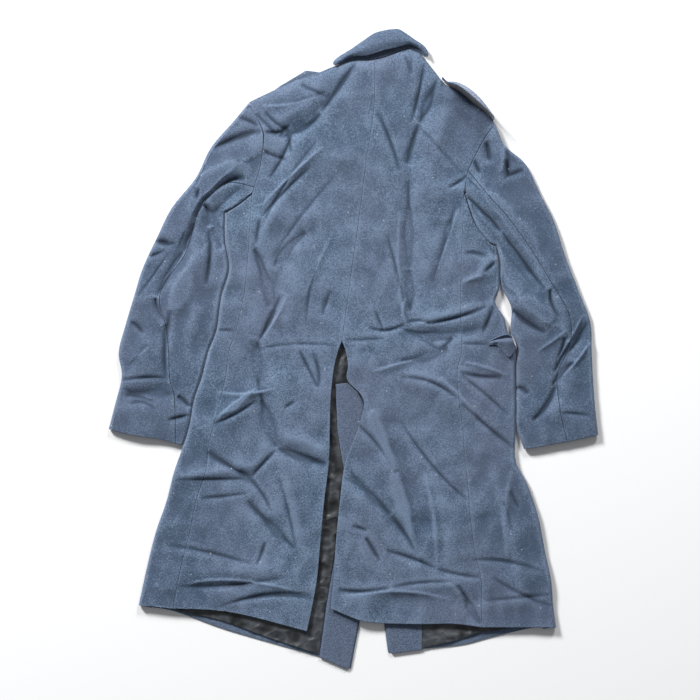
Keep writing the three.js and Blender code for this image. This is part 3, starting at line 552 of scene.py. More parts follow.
def add_folds(height, points, rows, depth, spread, taper, softness):
    for row in rows:
        line = fold_line(row)
        reach = FOLD_REACH * spread * max(row["left"], row["right"])
        near = np.all((points > line.min(0) - reach) & (points < line.max(0) + reach), axis=1)
        if not near.any():
            continue
        distance, along, side = nearest_on(line, points[near])
        width = spread * np.where(side > 0, row["left"], row["right"])
        height[near] += depth * row["rise"] * taper(along) * np.exp(-((distance / width) ** softness))


# Faint straight creases cross the whole cloth, as after long storage: sharp waves that come and go
PRESSED = as_rows(("length", "turn", "phase", "rise", "patch_length", "patch_width"), [
    (118, 97, 0.15, 0.95, 310, 170),
    (83, 41, 0.62, 0.75, 260, 210),
    (141, 128, 0.40, 0.95, 230, 330),
    (64, 78, 0.83, 0.60, 190, 250),
    (97, 12, 0.27, 0.70, 340, 180),
    (52, 152, 0.51, 0.50, 170, 220),
])
WANDER = 0.13
WANDER_LENGTH = 61
PATCH_COVER = 0.35
PATCH_CONTRAST = 1.4


def pressed_creases(points):
    x, y = points[:, 0], points[:, 1]
    total = np.zeros(len(points))
    for row in PRESSED:
        turn = math.radians(row["turn"])
        run = x * math.cos(turn) + y * math.sin(turn)
        aside = y * math.cos(turn) - x * math.sin(turn)
        place = run / row["length"] + row["phase"] + WANDER * np.sin(aside / WANDER_LENGTH + row["turn"])
        ridge = 1 - 4 * np.abs(place - np.floor(place) - 0.5)
        patches = np.sin(2 * np.pi * aside / row["patch_length"] + row["turn"])
        patches = patches * np.sin(2 * np.pi * run / row["patch_width"] + 3 * row["phase"])
        total += row["rise"] * ridge * smooth(PATCH_COVER + PATCH_CONTRAST * patches)
    return total


def blunt_ends(along):
    return np.sqrt(np.sin(np.pi * (0.06 + 0.88 * along)))


def fading_ends(along):
    return np.clip(np.sin(np.pi * along), 0, 1) ** 0.6


# Heights kept softly above the lowest level, and no more than 15 mm over it
KEPT_SOFTNESS = 0.5
KEPT_RANGE = 15 / KEPT_SOFTNESS


def kept_above(height, lowest):
    above = np.clip((height - lowest) / KEPT_SOFTNESS, -KEPT_RANGE, KEPT_RANGE)
    return lowest + KEPT_SOFTNESS * np.log1p(np.exp(above))


# The free edges of the backs lift over the crumpled lining
VENT_LINE = np.array([((row["left"] + row["right"]) / 2, row["level"]) for row in VENT])
OPEN_EDGE = 28
OPEN_EDGE_TOP = 11.4
LIFT_REACH = 1.6
HEM_ZONE = -492


def inside_vent(points):
    z = VENT_ZONE
    x, y = points[:, 0], points[:, 1]
    across = smooth((x - z["left"]) / z["border"]) * smooth((z["right"] - x) / z["border"])
    return across * smooth((y - z["low"]) / z["border"]) * smooth((z["high"] - y) / z["border"])


SHOULDER_LINE = np.array(LEFT_SHOULDER + LEFT_NECKLINE[1:] + RIGHT_NECKLINE[1:] + RIGHT_SHOULDER[1:], float)


def upper_height(plan):
    points = plan.reshape(-1, 2)
    x, y = points[:, 0], points[:, 1]
    z = np.full(len(points), float(REST_TOP))
    for s in SWELLS:
        z += s["rise"] * np.exp(-(((x - s["x"]) / s["across"]) ** 2) - ((y - s["y"]) / s["along"]) ** 2)
    for w in WAVES:
        turn = math.radians(w["turn"])
        run = x * math.cos(turn) + y * math.sin(turn)
        z += w["rise"] * np.sin(2 * math.pi * run / w["length"] + w["phase"])
    add_folds(z, points, LARGE_FOLDS, FOLD_DEPTH, 1, blunt_ends, FOLD_SOFTNESS)
    add_folds(z, points, CREASES, CREASE_DEPTH, CREASE_WIDTH, fading_ends, CREASE_SOFTNESS)
    z += pressed_creases(points)
    z = kept_above(z, LOWEST_TOP)
    z = np.where(y < SKIRT_BELOW, kept_above(z, SKIRT_LOWEST), z)
    beside_vent = smooth(LIFT_REACH - nearest_on(VENT_LINE, points)[0] / OPEN_EDGE)
    above_hem = smooth((HEM_ZONE - y) / OPEN_EDGE)
    open_edge = np.maximum(beside_vent, above_hem)
    z = np.maximum(z, SKIRT_LOWEST + (OPEN_EDGE_TOP - SKIRT_LOWEST) * open_edge)
    z = np.maximum(z, LOWEST_TOP + (VENT_ZONE["top"] - LOWEST_TOP) * inside_vent(points))
    share = np.clip(nearest_on(SHOULDER_LINE, points)[0] / SHOULDER_FALL, 0, 1)
    z = EDGE_TOP + (z - EDGE_TOP) * np.sqrt(1 - (1 - share) ** 2)
    return z.reshape(plan.shape[:-1])


# Painted shade darkens the troughs, and paler ridges are partly worn nap and partly painted light: each
# height against those around it
WEAR_AND_SHADE_REACHES = as_rows(("rounds", "full_at", "share"), [
    (8, 0.42, 0.65),
    (60, 3.0, 0.85),
])
DEEPEST_PAINTED_SHADE = -1.7
PALEST_RIDGE = 0.7
UPRIGHT_OVERLAP = 0.05


def ridge_wear_and_shade(points, faces):
    sides = np.concatenate([faces[:, [k, (k + 1) % 4]] for k in range(4)])
    count = np.bincount(sides.ravel(), minlength=len(points)).astype(float)
    height = points[:, 2]
    around = height.copy()
    wear_and_shade = np.zeros(len(points))
    done = 0
    for row in WEAR_AND_SHADE_REACHES:
        for _ in range(row["rounds"] // SIZE_OF_CELLS - done):
            total = np.bincount(sides[:, 0], around[sides[:, 1]], len(points))
            total += np.bincount(sides[:, 1], around[sides[:, 0]], len(points))
            around = total / count
        done = row["rounds"] // SIZE_OF_CELLS
        wear_and_shade += row["share"] * np.clip((height - around) / row["full_at"], DEEPEST_PAINTED_SHADE, PALEST_RIDGE)
    # The faces along the cut edges stand upright and take the darkest painted shade
    over = points[faces[:, 1], :2] - points[faces[:, 2], :2]
    upright = faces[np.hypot(over[:, 0], over[:, 1]) < UPRIGHT_OVERLAP]
    wear_and_shade[upright.ravel()] = DEEPEST_PAINTED_SHADE
    return wear_and_shade


# Meshes, in metres, each with its wear and painted shade at every point
def make_object(name, points, faces, worn_and_shaded):
    points = np.asarray(points, float)
    faces = np.asarray(faces, int)
    wear_and_shade = ridge_wear_and_shade(points, faces) if worn_and_shaded else np.zeros(len(points))
    points = points / 1000
    a, b, c, d = (points[faces[:, k]] for k in range(4))
    volume = (a * np.cross(b, c)).sum() + (a * np.cross(c, d)).sum()
    if volume < 0:
        faces = faces[:, ::-1]
    mesh = bpy.data.meshes.new(name)
    mesh.vertices.add(len(points))
    mesh.vertices.foreach_set("co", points.ravel())
    mesh.loops.add(faces.size)
    mesh.loops.foreach_set("vertex_index", faces.ravel())
    mesh.polygons.add(len(faces))
    mesh.polygons.foreach_set("loop_start", np.arange(0, faces.size, 4))
    mesh.polygons.foreach_set("use_smooth", np.ones(len(faces), bool))
    mesh.update(calc_edges=True)
    mesh.validate()
    value = mesh.attributes.new("wear_and_shade", "FLOAT", "POINT")
    value.data.foreach_set("value", wear_and_shade)
    piece = bpy.data.objects.new(name, mesh)
    bpy.context.scene.collection.objects.link(piece)
    return piece


def shell_mesh(outer, inner):
    rows, columns = outer.shape[:2]
    index = np.arange(rows * columns).reshape(rows, columns)
    corners = [index[:-1, :-1], index[:-1, 1:], index[1:, 1:], index[1:, :-1]]
    top = np.stack([c.ravel() for c in corners], axis=1)
    under = top[:, ::-1] + rows * columns
    border = np.concatenate([index[0, :-1], index[:-1, -1], index[-1, :0:-1], index[:0:-1, 0]])
    following = np.roll(border, -1)
    rim = np.stack([following, border, border + rows * columns, following + rows * columns], axis=1)
    points = np.concatenate([outer.reshape(-1, 3), inner.reshape(-1, 3)])
    return points, np.concatenate([top, under, rim])


def merged(*meshes):
    points, faces, count = [], [], 0
    for p, f in meshes:
        points.append(p)
        faces.append(f + count)
        count += len(p)
    return np.concatenate(points), np.concatenate(faces)


# Places along a side in shares, with close rows at the cut edges, and the fullness there
def stations(length, cell, first=True, last=True, keep=()):
    places = np.linspace(0, 1, max(2, round(length / cell)) + 1)
    for value in keep:
        places[np.abs(places - value).argmin()] = value
    close = np.array(EDGE_DISTANCE[1:]) / length
    if first:
        places = np.concatenate([[0], close, places[places > 1.6 * close[-1]]])
    if last:
        places = np.concatenate([places[places < 1 - 1.6 * close[-1]], 1 - close[::-1], [1]])
    fullness = np.ones(len(places))
    if first:
        fullness *= np.interp(places * length, EDGE_DISTANCE, EDGE_FULLNESS)
    if last:
        fullness *= np.interp((1 - places) * length, EDGE_DISTANCE, EDGE_FULLNESS)
    return places, fullness


def patch(side_a, side_b, top, bottom, u, v):
    along_a, along_b = side_a(v)[:, None], side_b(v)[:, None]
    share = u[None, :, None]
    top_line, bottom_line = top(u), bottom(u)
    top_bow = top_line - (top_line[:1] + (top_line[-1:] - top_line[:1]) * u[:, None])
    bottom_bow = bottom_line - (bottom_line[:1] + (bottom_line[-1:] - bottom_line[:1]) * u[:, None])
    fade = v[:, None, None] ** 3
    rise = (1 - v)[:, None, None] ** 3
    return along_a * (1 - share) + along_b * share + top_bow[None] * rise + bottom_bow[None] * fade


def both_ways(full_v, full_u):
    return full_v[:, None] * full_u[None]


def with_height(plan, height):
    return np.concatenate([plan, np.asarray(height)[..., None]], axis=-1)


def layer_mesh(plan, top, thickness, fullness):
    middle = top - thickness / 2
    half = thickness / 2 * fullness
    return shell_mesh(with_height(plan, middle + half), with_height(plan, middle - half))


# A wall that lies over the coat, rolls round an edge and returns along the floor
def rolled_mesh(spec, u_over, full_over, u_below, full_below, v, full_v):
    edge, side = spec["edge"], spec["side"]
    run = direction(edge, v)
    out = side * np.stack([run[:, 1], -run[:, 0]], axis=-1)
    if "first_out" in spec:
        blend = smooth(v / 0.1)[:, None]
        out = np.array(spec["first_out"]) * (1 - blend) + out * blend
    out /= np.linalg.norm(out, axis=-1, keepdims=True)
    inset_line = edge(v) - out * ROLL

    def inset(s):
        return read_at(s, v, inset_line)

    def closing(line, s, end):
        weight = (s**6)[:, None]
        return line * (1 - weight) + end * weight

    over = patch(
        spec["seam"],
        inset,
        lambda s: closing(spec["top"](s), s, inset_line[0]),
        lambda s: closing(spec["bottom"](s), s, inset_line[-1]),
        u_over,
        v,
    )
    below = patch(
        inset,
        spec["under_seam"],
        lambda s: closing(spec["under_top"](s), 1 - s, inset_line[0]),
        lambda s: closing(spec["under_bottom"](s), 1 - s, inset_line[-1]),
        u_below,
        v,
    )
    turns = np.pi * (0.5 - np.arange(1, ROLL_CELLS) / ROLL_CELLS)
    over_height = upper_height(over)
    half = over_height[:, -1:] / 2
    full = both_ways(full_v, np.concatenate([full_over, np.ones(len(turns)), full_below]))
    faces = []
    for depth in (WOOL / 2 * (1 - full), WOOL / 2 * (1 + full)):
        first, last = len(u_over), len(u_over) + len(turns)
        over_face = with_height(over, over_height - depth[:, :first])
        reach = (ROLL - depth[:, first:last]) * np.cos(turns)[None]
        roll_plan = inset_line[:, None] + out[:, None] * reach[..., None]
        roll_height = half + (half - depth[:, first:last]) * np.sin(turns)[None]
        roll_face = with_height(roll_plan, roll_height)
        below_face = with_height(below, depth[:, last:])
        faces.append(np.concatenate([over_face, roll_face, below_face], axis=1))
    return shell_mesh(faces[0], faces[1])


def finish_piece(name, mesh, slot, worn_and_shaded=True):
    piece = make_object(name + "_cloth", *mesh, worn_and_shaded)
    piece.data.materials.append(MATERIALS[slot])
    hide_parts(name)
    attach(piece, "root")


# Materials
def socket_value(node, name, value):
    node.inputs[name].default_value = value


def link(tree, source, source_name, target, target_name):
    tree.links.new(source.outputs[source_name], target.inputs[target_name])


def noise_in(tree, coordinates, scale, detail, roughness):
    noise = tree.nodes.new("ShaderNodeTexNoise")
    socket_value(noise, "Scale", scale)
    socket_value(noise, "Detail", detail)
    socket_value(noise, "Roughness", roughness)
    tree.links.new(coordinates, noise.inputs["Vector"])
    return noise.outputs["Fac"]


def math_in(tree, operation, first, second=0):
    node = tree.nodes.new("ShaderNodeMath")
    node.operation = operation
    for i, value in enumerate((first, second)):
        if isinstance(value, (int, float)):
            node.inputs[i].default_value = value
        else:
            tree.links.new(value, node.inputs[i])
    return node.outputs[0]


def mix_in(tree, factor, first, second):
    node = tree.nodes.new("ShaderNodeMix")
    node.data_type = "RGBA"
    for name, value in (("Factor", factor), ("A", first), ("B", second)):
        socket = next(s for s in node.inputs if s.name == name and s.enabled)
        if isinstance(value, tuple):
            socket.default_value = value
        else:
            tree.links.new(value, socket)
    return next(s for s in node.outputs if s.enabled)


# Nap of felted wool: hairs, tufts, clouds and specks of lint, with grains to a metre, and painted shade in
# the deep folds, along the sleeves and over the shoulders
HAIR_GRAIN = 800
TUFT_GRAIN = 330
CLOUD_GRAIN = 40
BROAD_GRAIN = 5
HAIR_SHARE = 1.5
TUFT_SHARE = 1.3
CLOUD_SHARE = 0.25
NAP_CONTRAST = 2.9
NAP_START = 3.93
WEAR_AND_SHADE_SHARE = 0.60
# Painted shade: the colour darkens out along the sleeves and up over the shoulders
SLEEVES_FROM_X = 0.2
SLEEVE_PAINTED_SHADE = (3.2, 0.46)
SHOULDERS_FROM_Y = 0.25
SHOULDER_PAINTED_SHADE = (1.1, 0.3)
TINGE_FROM = 0.35
TINGE_SHARE = 1.2
# Painted shade: the deepest troughs turn towards near-black
DEEP_SHADE_FROM = -1.05
DEEP_SHADE_SHARE = 0.65
DEEP_SHADE_COLOUR = (0.014, 0.022, 0.034, 1)
LINT_GRAIN = 9
LINT_SIZE = 0.012
LINT_SHARE = 0.5
LINT_COLOUR = (0.50, 0.52, 0.55, 1)
TUFT_HEIGHT = 1.6


def darker_beyond(tree, place, start, slope, most):
    beyond = math_in(tree, "MAXIMUM", math_in(tree, "SUBTRACT", place, start), 0)
    return math_in(tree, "MINIMUM", math_in(tree, "MULTIPLY", beyond, slope), most)


def make_nap_and_shade_group():
    tree = bpy.data.node_groups.new("wool nap and painted shade", "ShaderNodeTree")
    for name in ("Dark", "Light", "Tinge"):
        tree.interface.new_socket(name=name, in_out="INPUT", socket_type="NodeSocketColor")
    tree.interface.new_socket(name="Colour", in_out="OUTPUT", socket_type="NodeSocketColor")
    tree.interface.new_socket(name="Height", in_out="OUTPUT", socket_type="NodeSocketFloat")
    entry = tree.nodes.new("NodeGroupInput")
    result = tree.nodes.new("NodeGroupOutput")
    place = tree.nodes.new("ShaderNodeTexCoord").outputs["Object"]
    hairs = noise_in(tree, place, HAIR_GRAIN, 2, 0.6)
    tufts = noise_in(tree, place, TUFT_GRAIN, 3, 0.65)
    clouds = noise_in(tree, place, CLOUD_GRAIN, 3, 0.6)
    broad = noise_in(tree, place, BROAD_GRAIN, 2, 0.5)
    shade = math_in(tree, "MULTIPLY", hairs, HAIR_SHARE)
    shade = math_in(tree, "ADD", shade, math_in(tree, "MULTIPLY", tufts, TUFT_SHARE))
    shade = math_in(tree, "ADD", shade, math_in(tree, "MULTIPLY", clouds, CLOUD_SHARE))
    factor = math_in(tree, "SUBTRACT", math_in(tree, "MULTIPLY", shade, NAP_CONTRAST), NAP_START)
    # Painted shade from the point attribute darkens the troughs and upright edges; paler ridges are partly
    # worn nap and partly painted light
    wear_and_shade = tree.nodes.new("ShaderNodeAttribute")
    wear_and_shade.attribute_name = "wear_and_shade"
    factor = math_in(tree, "ADD", factor, math_in(tree, "MULTIPLY", wear_and_shade.outputs["Fac"], WEAR_AND_SHADE_SHARE))
    sides = tree.nodes.new("ShaderNodeSeparateXYZ")
    tree.links.new(place, sides.inputs["Vector"])
    # Painted shade towards the sleeves and over the shoulders
    outwards = math_in(tree, "ABSOLUTE", sides.outputs["X"])
    sleeve_shade = darker_beyond(tree, outwards, SLEEVES_FROM_X, *SLEEVE_PAINTED_SHADE)
    factor = math_in(tree, "SUBTRACT", factor, sleeve_shade)
    shoulder_shade = darker_beyond(tree, sides.outputs["Y"], SHOULDERS_FROM_Y, *SHOULDER_PAINTED_SHADE)
    factor = math_in(tree, "SUBTRACT", factor, shoulder_shade)
    colour = mix_in(tree, factor, entry.outputs["Dark"], entry.outputs["Light"])
    tinge_share = math_in(tree, "MULTIPLY", math_in(tree, "SUBTRACT", broad, TINGE_FROM), TINGE_SHARE)
    colour = mix_in(tree, tinge_share, colour, entry.outputs["Tinge"])
    # Painted shade: near-black where the point attribute is deepest
    depth = math_in(tree, "SUBTRACT", DEEP_SHADE_FROM, wear_and_shade.outputs["Fac"])
    depth = math_in(tree, "MINIMUM", math_in(tree, "MAXIMUM", depth, 0), 1)
    colour = mix_in(tree, math_in(tree, "MULTIPLY", depth, DEEP_SHADE_SHARE), colour, DEEP_SHADE_COLOUR)
    lint = tree.nodes.new("ShaderNodeTexVoronoi")
    lint.voronoi_dimensions = "2D"
    socket_value(lint, "Scale", LINT_GRAIN)
    tree.links.new(place, lint.inputs["Vector"])
    speck = math_in(tree, "LESS_THAN", lint.outputs["Distance"], LINT_SIZE)
    colour = mix_in(tree, math_in(tree, "MULTIPLY", speck, LINT_SHARE), colour, LINT_COLOUR)
    tree.links.new(colour, result.inputs["Colour"])
    height = math_in(tree, "ADD", hairs, math_in(tree, "MULTIPLY", tufts, TUFT_HEIGHT))
    tree.links.new(height, result.inputs["Height"])
    return tree


def make_wool(name, nap_and_shade, dark, light, tinge, sheen):
    material = bpy.data.materials.new(name)
    material.use_nodes = True
    tree = material.node_tree
    shader = tree.nodes["Principled BSDF"]
    group = tree.nodes.new("ShaderNodeGroup")
    group.node_tree = nap_and_shade
    socket_value(group, "Dark", dark)
    socket_value(group, "Light", light)
    socket_value(group, "Tinge", tinge)
    bump = tree.nodes.new("ShaderNodeBump")
    socket_value(bump, "Strength", 0.55)
    socket_value(bump, "Distance", 0.0011)
    link(tree, group, "Height", bump, "Height")
    link(tree, group, "Colour", shader, "Base Color")
    link(tree, bump, "Normal", shader, "Normal")
    socket_value(shader, "Roughness", 0.95)
    socket_value(shader, "Specular IOR Level", 0.15)
    socket_value(shader, "Sheen Weight", sheen)
    socket_value(shader, "Sheen Roughness", 0.45)
    socket_value(shader, "Sheen Tint", (0.80, 0.84, 1.0, 1.0))
    return material


# Black satin with painted highlights: thin pale lines along the crests of the crumple noise, the same noise
# that drives the bump
SATIN_GRAIN = 24
SATIN_CONTRAST = 7
SATIN_DARK = (0.013, 0.015, 0.017, 1)
SATIN_PAINTED_HIGHLIGHT = (0.055, 0.060, 0.068, 1)


def make_satin():
    material = bpy.data.materials.new("black satin lining")
    material.use_nodes = True
    tree = material.node_tree
    shader = tree.nodes["Principled BSDF"]
    place = tree.nodes.new("ShaderNodeTexCoord").outputs["Object"]
    folds = noise_in(tree, place, SATIN_GRAIN, 2, 0.45)
    # Painted highlight: the colour turns pale along the noise crests
    sharp = math_in(tree, "ABSOLUTE", math_in(tree, "SUBTRACT", folds, 0.5))
    light = math_in(tree, "SUBTRACT", 1, math_in(tree, "MULTIPLY", sharp, SATIN_CONTRAST))
    colour = mix_in(tree, light, SATIN_DARK, SATIN_PAINTED_HIGHLIGHT)
    tree.links.new(colour, shader.inputs["Base Color"])
    bump = tree.nodes.new("ShaderNodeBump")
    socket_value(bump, "Strength", 0.7)
    socket_value(bump, "Distance", 0.0026)
    tree.links.new(light, bump.inputs["Height"])
    link(tree, bump, "Normal", shader, "Normal")
    socket_value(shader, "Roughness", 0.44)
    return material


NAP_AND_SHADE = make_nap_and_shade_group()
MATERIALS = {
    "wool": make_wool(
        "blue-grey wool",
        NAP_AND_SHADE,
        (0.046, 0.076, 0.122, 1),
        (0.150, 0.209, 0.303, 1),
        (0.110, 0.120, 0.180, 1),
        0.35,
    ),
    "facing": make_wool(
        "wool facing",
        NAP_AND_SHADE,
        (0.048, 0.070, 0.112, 1),
        (0.125, 0.165, 0.240, 1),
        (0.095, 0.105, 0.155, 1),
        0.3,
    ),
    "lining": make_satin(),
}


# Seam lines
def column(rows, name):
    return [(row[name], row["level"]) for row in rows]


left_seam = curve_through([LEFT_ARMHOLE[-1]] + column(LEFT_SIDE, "seam") + [LEFT_HEM[0]])
left_edge = curve_through([LEFT_UNDERARM[-1]] + column(LEFT_SIDE, "edge"))
right_seam = curve_through([RIGHT_ARMHOLE[-1]] + column(RIGHT_SIDE, "seam"))
right_edge = curve_through([RIGHT_UNDERARM[-1]] + column(RIGHT_SIDE, "edge"))
left_armhole = curve_through(LEFT_ARMHOLE)
left_underarm = curve_through(LEFT_UNDERARM)
right_armhole = curve_through(RIGHT_ARMHOLE)
right_underarm = curve_through(RIGHT_UNDERARM)
centre_seam = curve_through(CENTRE_BACK)
vent_left = curve_through(column(VENT, "left") + [VENT_LEFT_END])
vent_right = curve_through(column(VENT, "right"))

# Backs: shares of their length at the end of the armhole and at the head of the vent
ARMHOLE_SHARE = 0.2
VENT_SHARE = 0.5
BACK_LENGTH = 1140
BACK_WIDTH = 245


def make_back(name, side_a, side_b, top, bottom):
    u, full_u = stations(BACK_WIDTH, CELL_BACK)
    v, full_v = stations(BACK_LENGTH, CELL_BACK, keep=(ARMHOLE_SHARE, VENT_SHARE))
    plan = patch(side_a, side_b, top, bottom, u, v)
    mesh = layer_mesh(plan, upper_height(plan), WOOL, both_ways(full_v, full_u))
    finish_piece(name, mesh, "wool")


make_back(
    "back_left",
    joined(shifted(left_armhole, -HALF_ARMHOLE), shifted(left_seam, -HALF_SEAM), ARMHOLE_SHARE),
    joined(shifted(centre_seam, HALF_SEAM), shifted(vent_left, HALF_SEAM), VENT_SHARE),
    joined(curve_through(LEFT_SHOULDER), curve_through(LEFT_NECKLINE), 0.8),
    curve_through(LEFT_HEM),
)
make_back(
    "back_right",
    joined(shifted(centre_seam, -HALF_SEAM), shifted(vent_right, -HALF_SEAM), VENT_SHARE),
    joined(shifted(right_armhole, HALF_ARMHOLE), shifted(right_seam, HALF_SEAM), ARMHOLE_SHARE),
    joined(curve_through(RIGHT_NECKLINE), curve_through(RIGHT_SHOULDER), 0.3),
    curve_through(RIGHT_HEM),
)

# Fronts: a flat sheet on the floor, a rounded side edge and the strip back to the side seam
LEFT_FRONT_SHOULDER = [[-7, 576], [-41, 566], [-55, 552], [-35, 502], [-155, 458], [-183, 502]]
RIGHT_FRONT_SHOULDER = [[129, 588], [167, 548], [175, 530], [207, 518], [239, 492], [271, 466]]
LEFT_FRONT_EDGE = [[61, 492], [71, 300], [65, 10], [29, -300], [13, -540], [-5, -636]]
RIGHT_FRONT_EDGE = [[65, 492], [76, 300], [70, 10], [65, -300], [61, -546], [69, -604]]
LEFT_FRONT_HEM = [
  [-13, -642], [-69, -620], [-105, -608], [-213, -574], [-267, -556], [-355, -522], [-409, -512],
]
RIGHT_FRONT_HEM = [[75, -610], [137, -602], [219, -590], [273, -574], [355, -552], [389, -551]]
LEFT_NECK = [[5, 532], [25, 508]]
RIGHT_NECK = [[121, 540], [101, 508]]
SHEET_WIDTH = 320
SHEET_LENGTH = 1180
SHEET_SLACK = 0.12
SIDE_LENGTH = 800
TURNED_UNDER = 20
UNDER_CELL = 7


def make_front(name, front):
    edge, side = front["edge"], front["side"]
    under_seam = shifted(edge, -side * (PLATE_INSET + 12))
    ends = np.array([0.0, 1.0])
    seam = shifted(front["seam"], side * HALF_SEAM)
    spec = {
        "seam": seam,
        "edge": edge,
        "side": side,
        "top": shifted(front["underarm"], -side * HALF_ARMHOLE),
        "bottom": straight(front["seam"](ends)[1], edge(ends)[1]),
        "under_seam": under_seam,
        "under_top": straight(edge(ends)[0], under_seam(ends)[0]),
        "under_bottom": straight(edge(ends)[1], under_seam(ends)[1]),
    }
    u_over, full_over = stations(front["strip"], CELL_STRIP, last=False)
    u_below, full_below = stations(TURNED_UNDER, UNDER_CELL, first=False)
    v, full_v = stations(SIDE_LENGTH, CELL_STRIP)
    roll = rolled_mesh(spec, u_over, full_over, u_below, full_below, v, full_v)
    armhole = shifted(front["armhole"], -side * PLATE_ARMHOLE_GAP)(np.linspace(0.04, 0.98, 13))
    underarm = shifted(front["underarm"], -side * PLATE_ARMHOLE_GAP)(np.linspace(0.1, 0.55, 4))
    outer_side = shifted(edge, -side * PLATE_INSET)(np.linspace(0.02, 1, 41))
    sheet_side = broken_line(np.vstack([armhole, underarm, outer_side]))
    sheet_front = broken_line(front["neck"] + front["front_edge"])
    sheet_top = broken_line([front["neck"][0]] + front["shoulder"] + [armhole[0]])
    hem = curve_through(front["hem"])
    sheet_u, full_sheet_u = stations(SHEET_WIDTH, CELL_HIDDEN)
    sheet_v, full_sheet_v = stations(SHEET_LENGTH, CELL_HIDDEN)
    plan = patch(sheet_front, sheet_side, sheet_top, hem, sheet_u, sheet_v)
    top = np.full(plan.shape[:2], WOOL - SHEET_SLACK)
    sheet = layer_mesh(plan, top, WOOL - 2 * SHEET_SLACK, both_ways(full_sheet_v, full_sheet_u))
    finish_piece(name, merged(sheet, roll), "wool")


make_front("front_left", {
    "seam": left_seam, "edge": left_edge, "underarm": left_underarm, "armhole": left_armhole, "side": 1,
    "shoulder": LEFT_FRONT_SHOULDER, "neck": LEFT_NECK, "front_edge": LEFT_FRONT_EDGE, "hem": LEFT_FRONT_HEM,
    "strip": 60,
})
make_front("front_right", {
    "seam": right_seam, "edge": right_edge, "underarm": right_underarm, "armhole": right_armhole, "side": -1,
    "shoulder": RIGHT_FRONT_SHOULDER, "neck": RIGHT_NECK, "front_edge": RIGHT_FRONT_EDGE,
    "hem": RIGHT_FRONT_HEM, "strip": 110,
})


# Sleeves: each a flattened tube of two pieces, open at the armhole and the cuff
SLEEVE_LENGTH = 660
SLEEVE_FLOOR_WIDTH = 60
FOREARM_SHARE = 0.5


def make_sleeve(prefix, sleeve):
    rows, side, ring, cuff = sleeve["rows"], sleeve["side"], sleeve["ring"], sleeve["cuff"]
    seam_at, corner_at, floor_at = sleeve["seam_at"], sleeve["corner_at"], sleeve["floor_seam_at"]
    cuff_at = sleeve["cuff_seam_at"]
    outer, seam, inner = (list(line) for line in zip(*rows))
    middles = [(np.array(o) + np.array(i)) / 2 for o, i in zip(outer, inner)]
    outer_edge = curve_through([ring(0.0)] + outer[1:])
    hind_seam = curve_through([ring(seam_at)] + seam[1:-1] + [cuff(cuff_at)])
    forearm_seam = curve_through([ring(floor_at)] + middles[1:-1] + [cuff(FOREARM_SHARE)])
    keep = (sleeve["underarm_share"],)
    v, full_v = stations(SLEEVE_LENGTH, CELL_SLEEVE, keep=keep)
    u_below, full_below = stations(SLEEVE_FLOOR_WIDTH, CELL_HIDDEN, first=False)
    u_top, full_top = stations(sleeve["top_width"], CELL_SLEEVE, last=False)
    top_spec = {
        "seam": shifted(hind_seam, side * HALF_SLEEVE_SEAM),
        "edge": outer_edge,
        "side": side,
        "top": part(ring, seam_at, 0),
        "bottom": part(cuff, cuff_at, 0),
        "under_seam": shifted(forearm_seam, side * HALF_SLEEVE_SEAM),
        "under_top": part(ring, 0, floor_at),
        "under_bottom": part(cuff, 0, FOREARM_SHARE),
        "first_out": -direction(ring, 0.0),
    }
    mesh = rolled_mesh(top_spec, u_top, full_top, u_below, full_below, v, full_v)
    finish_piece(prefix + "_top", mesh, "wool")
    u_under, full_under = stations(sleeve["under_width"], CELL_SLEEVE, last=False)
    under_spec = {
        "seam": shifted(hind_seam, -side * HALF_SLEEVE_SEAM),
        "edge": sleeve["inner_edge"],
        "side": -side,
        "top": part(ring, seam_at, corner_at),
        "bottom": part(cuff, cuff_at, 1),
        "under_seam": shifted(forearm_seam, -side * HALF_SLEEVE_SEAM),
        "under_top": part(ring, corner_at, floor_at),
        "under_bottom": part(cuff, 1, FOREARM_SHARE),
    }
    mesh = rolled_mesh(under_spec, u_under, full_under, u_below, full_below, v, full_v)
    finish_piece(prefix + "_under", mesh, "wool")


def beside_the_coat(edge, side, cuff_corner):
    away = shifted(edge, side * SIDE_CLEARANCE)
    last = share_at(away, cuff_corner[1] + 16)
    return joined(part(away, 0, last), straight(away(np.array([last]))[0], cuff_corner), 0.96)


left_underarm_edge = shifted(left_underarm, HALF_UNDERARM)
right_underarm_edge = shifted(right_underarm, -HALF_UNDERARM)
right_arm_edge = curve_through([right_underarm_edge(1.0)] + [inner for _, _, inner in RIGHT_SLEEVE[1:]])
make_sleeve("sleeve_left", {
    "rows": LEFT_SLEEVE,
    "side": 1,
    "ring": shifted(joined(left_armhole, left_underarm, 0.75), HALF_ARMHOLE),
    "corner_at": 0.75,
    "seam_at": 0.69,
    "floor_seam_at": 0.4,
    "cuff": curve_through(LEFT_CUFF),
    "cuff_seam_at": 0.9,
    "underarm_share": 3 / 26,
    "inner_edge": joined(left_underarm_edge, beside_the_coat(left_edge, 1, LEFT_CUFF[-1]), 3 / 26),
    "top_width": 95,
    "under_width": 75,
})
make_sleeve("sleeve_right", {
    "rows": RIGHT_SLEEVE,
    "side": -1,
    "ring": shifted(joined(right_armhole, right_underarm, 0.6), -HALF_ARMHOLE),
    "corner_at": 0.6,
    "seam_at": 0.42,
    "floor_seam_at": 0.35,
    "cuff": curve_through(RIGHT_CUFF),
    "cuff_seam_at": 0.42,
    "underarm_share": 6 / 26,
    "inner_edge": joined(right_underarm_edge, right_arm_edge, 6 / 26),
    "top_width": 80,
    "under_width": 95,
})

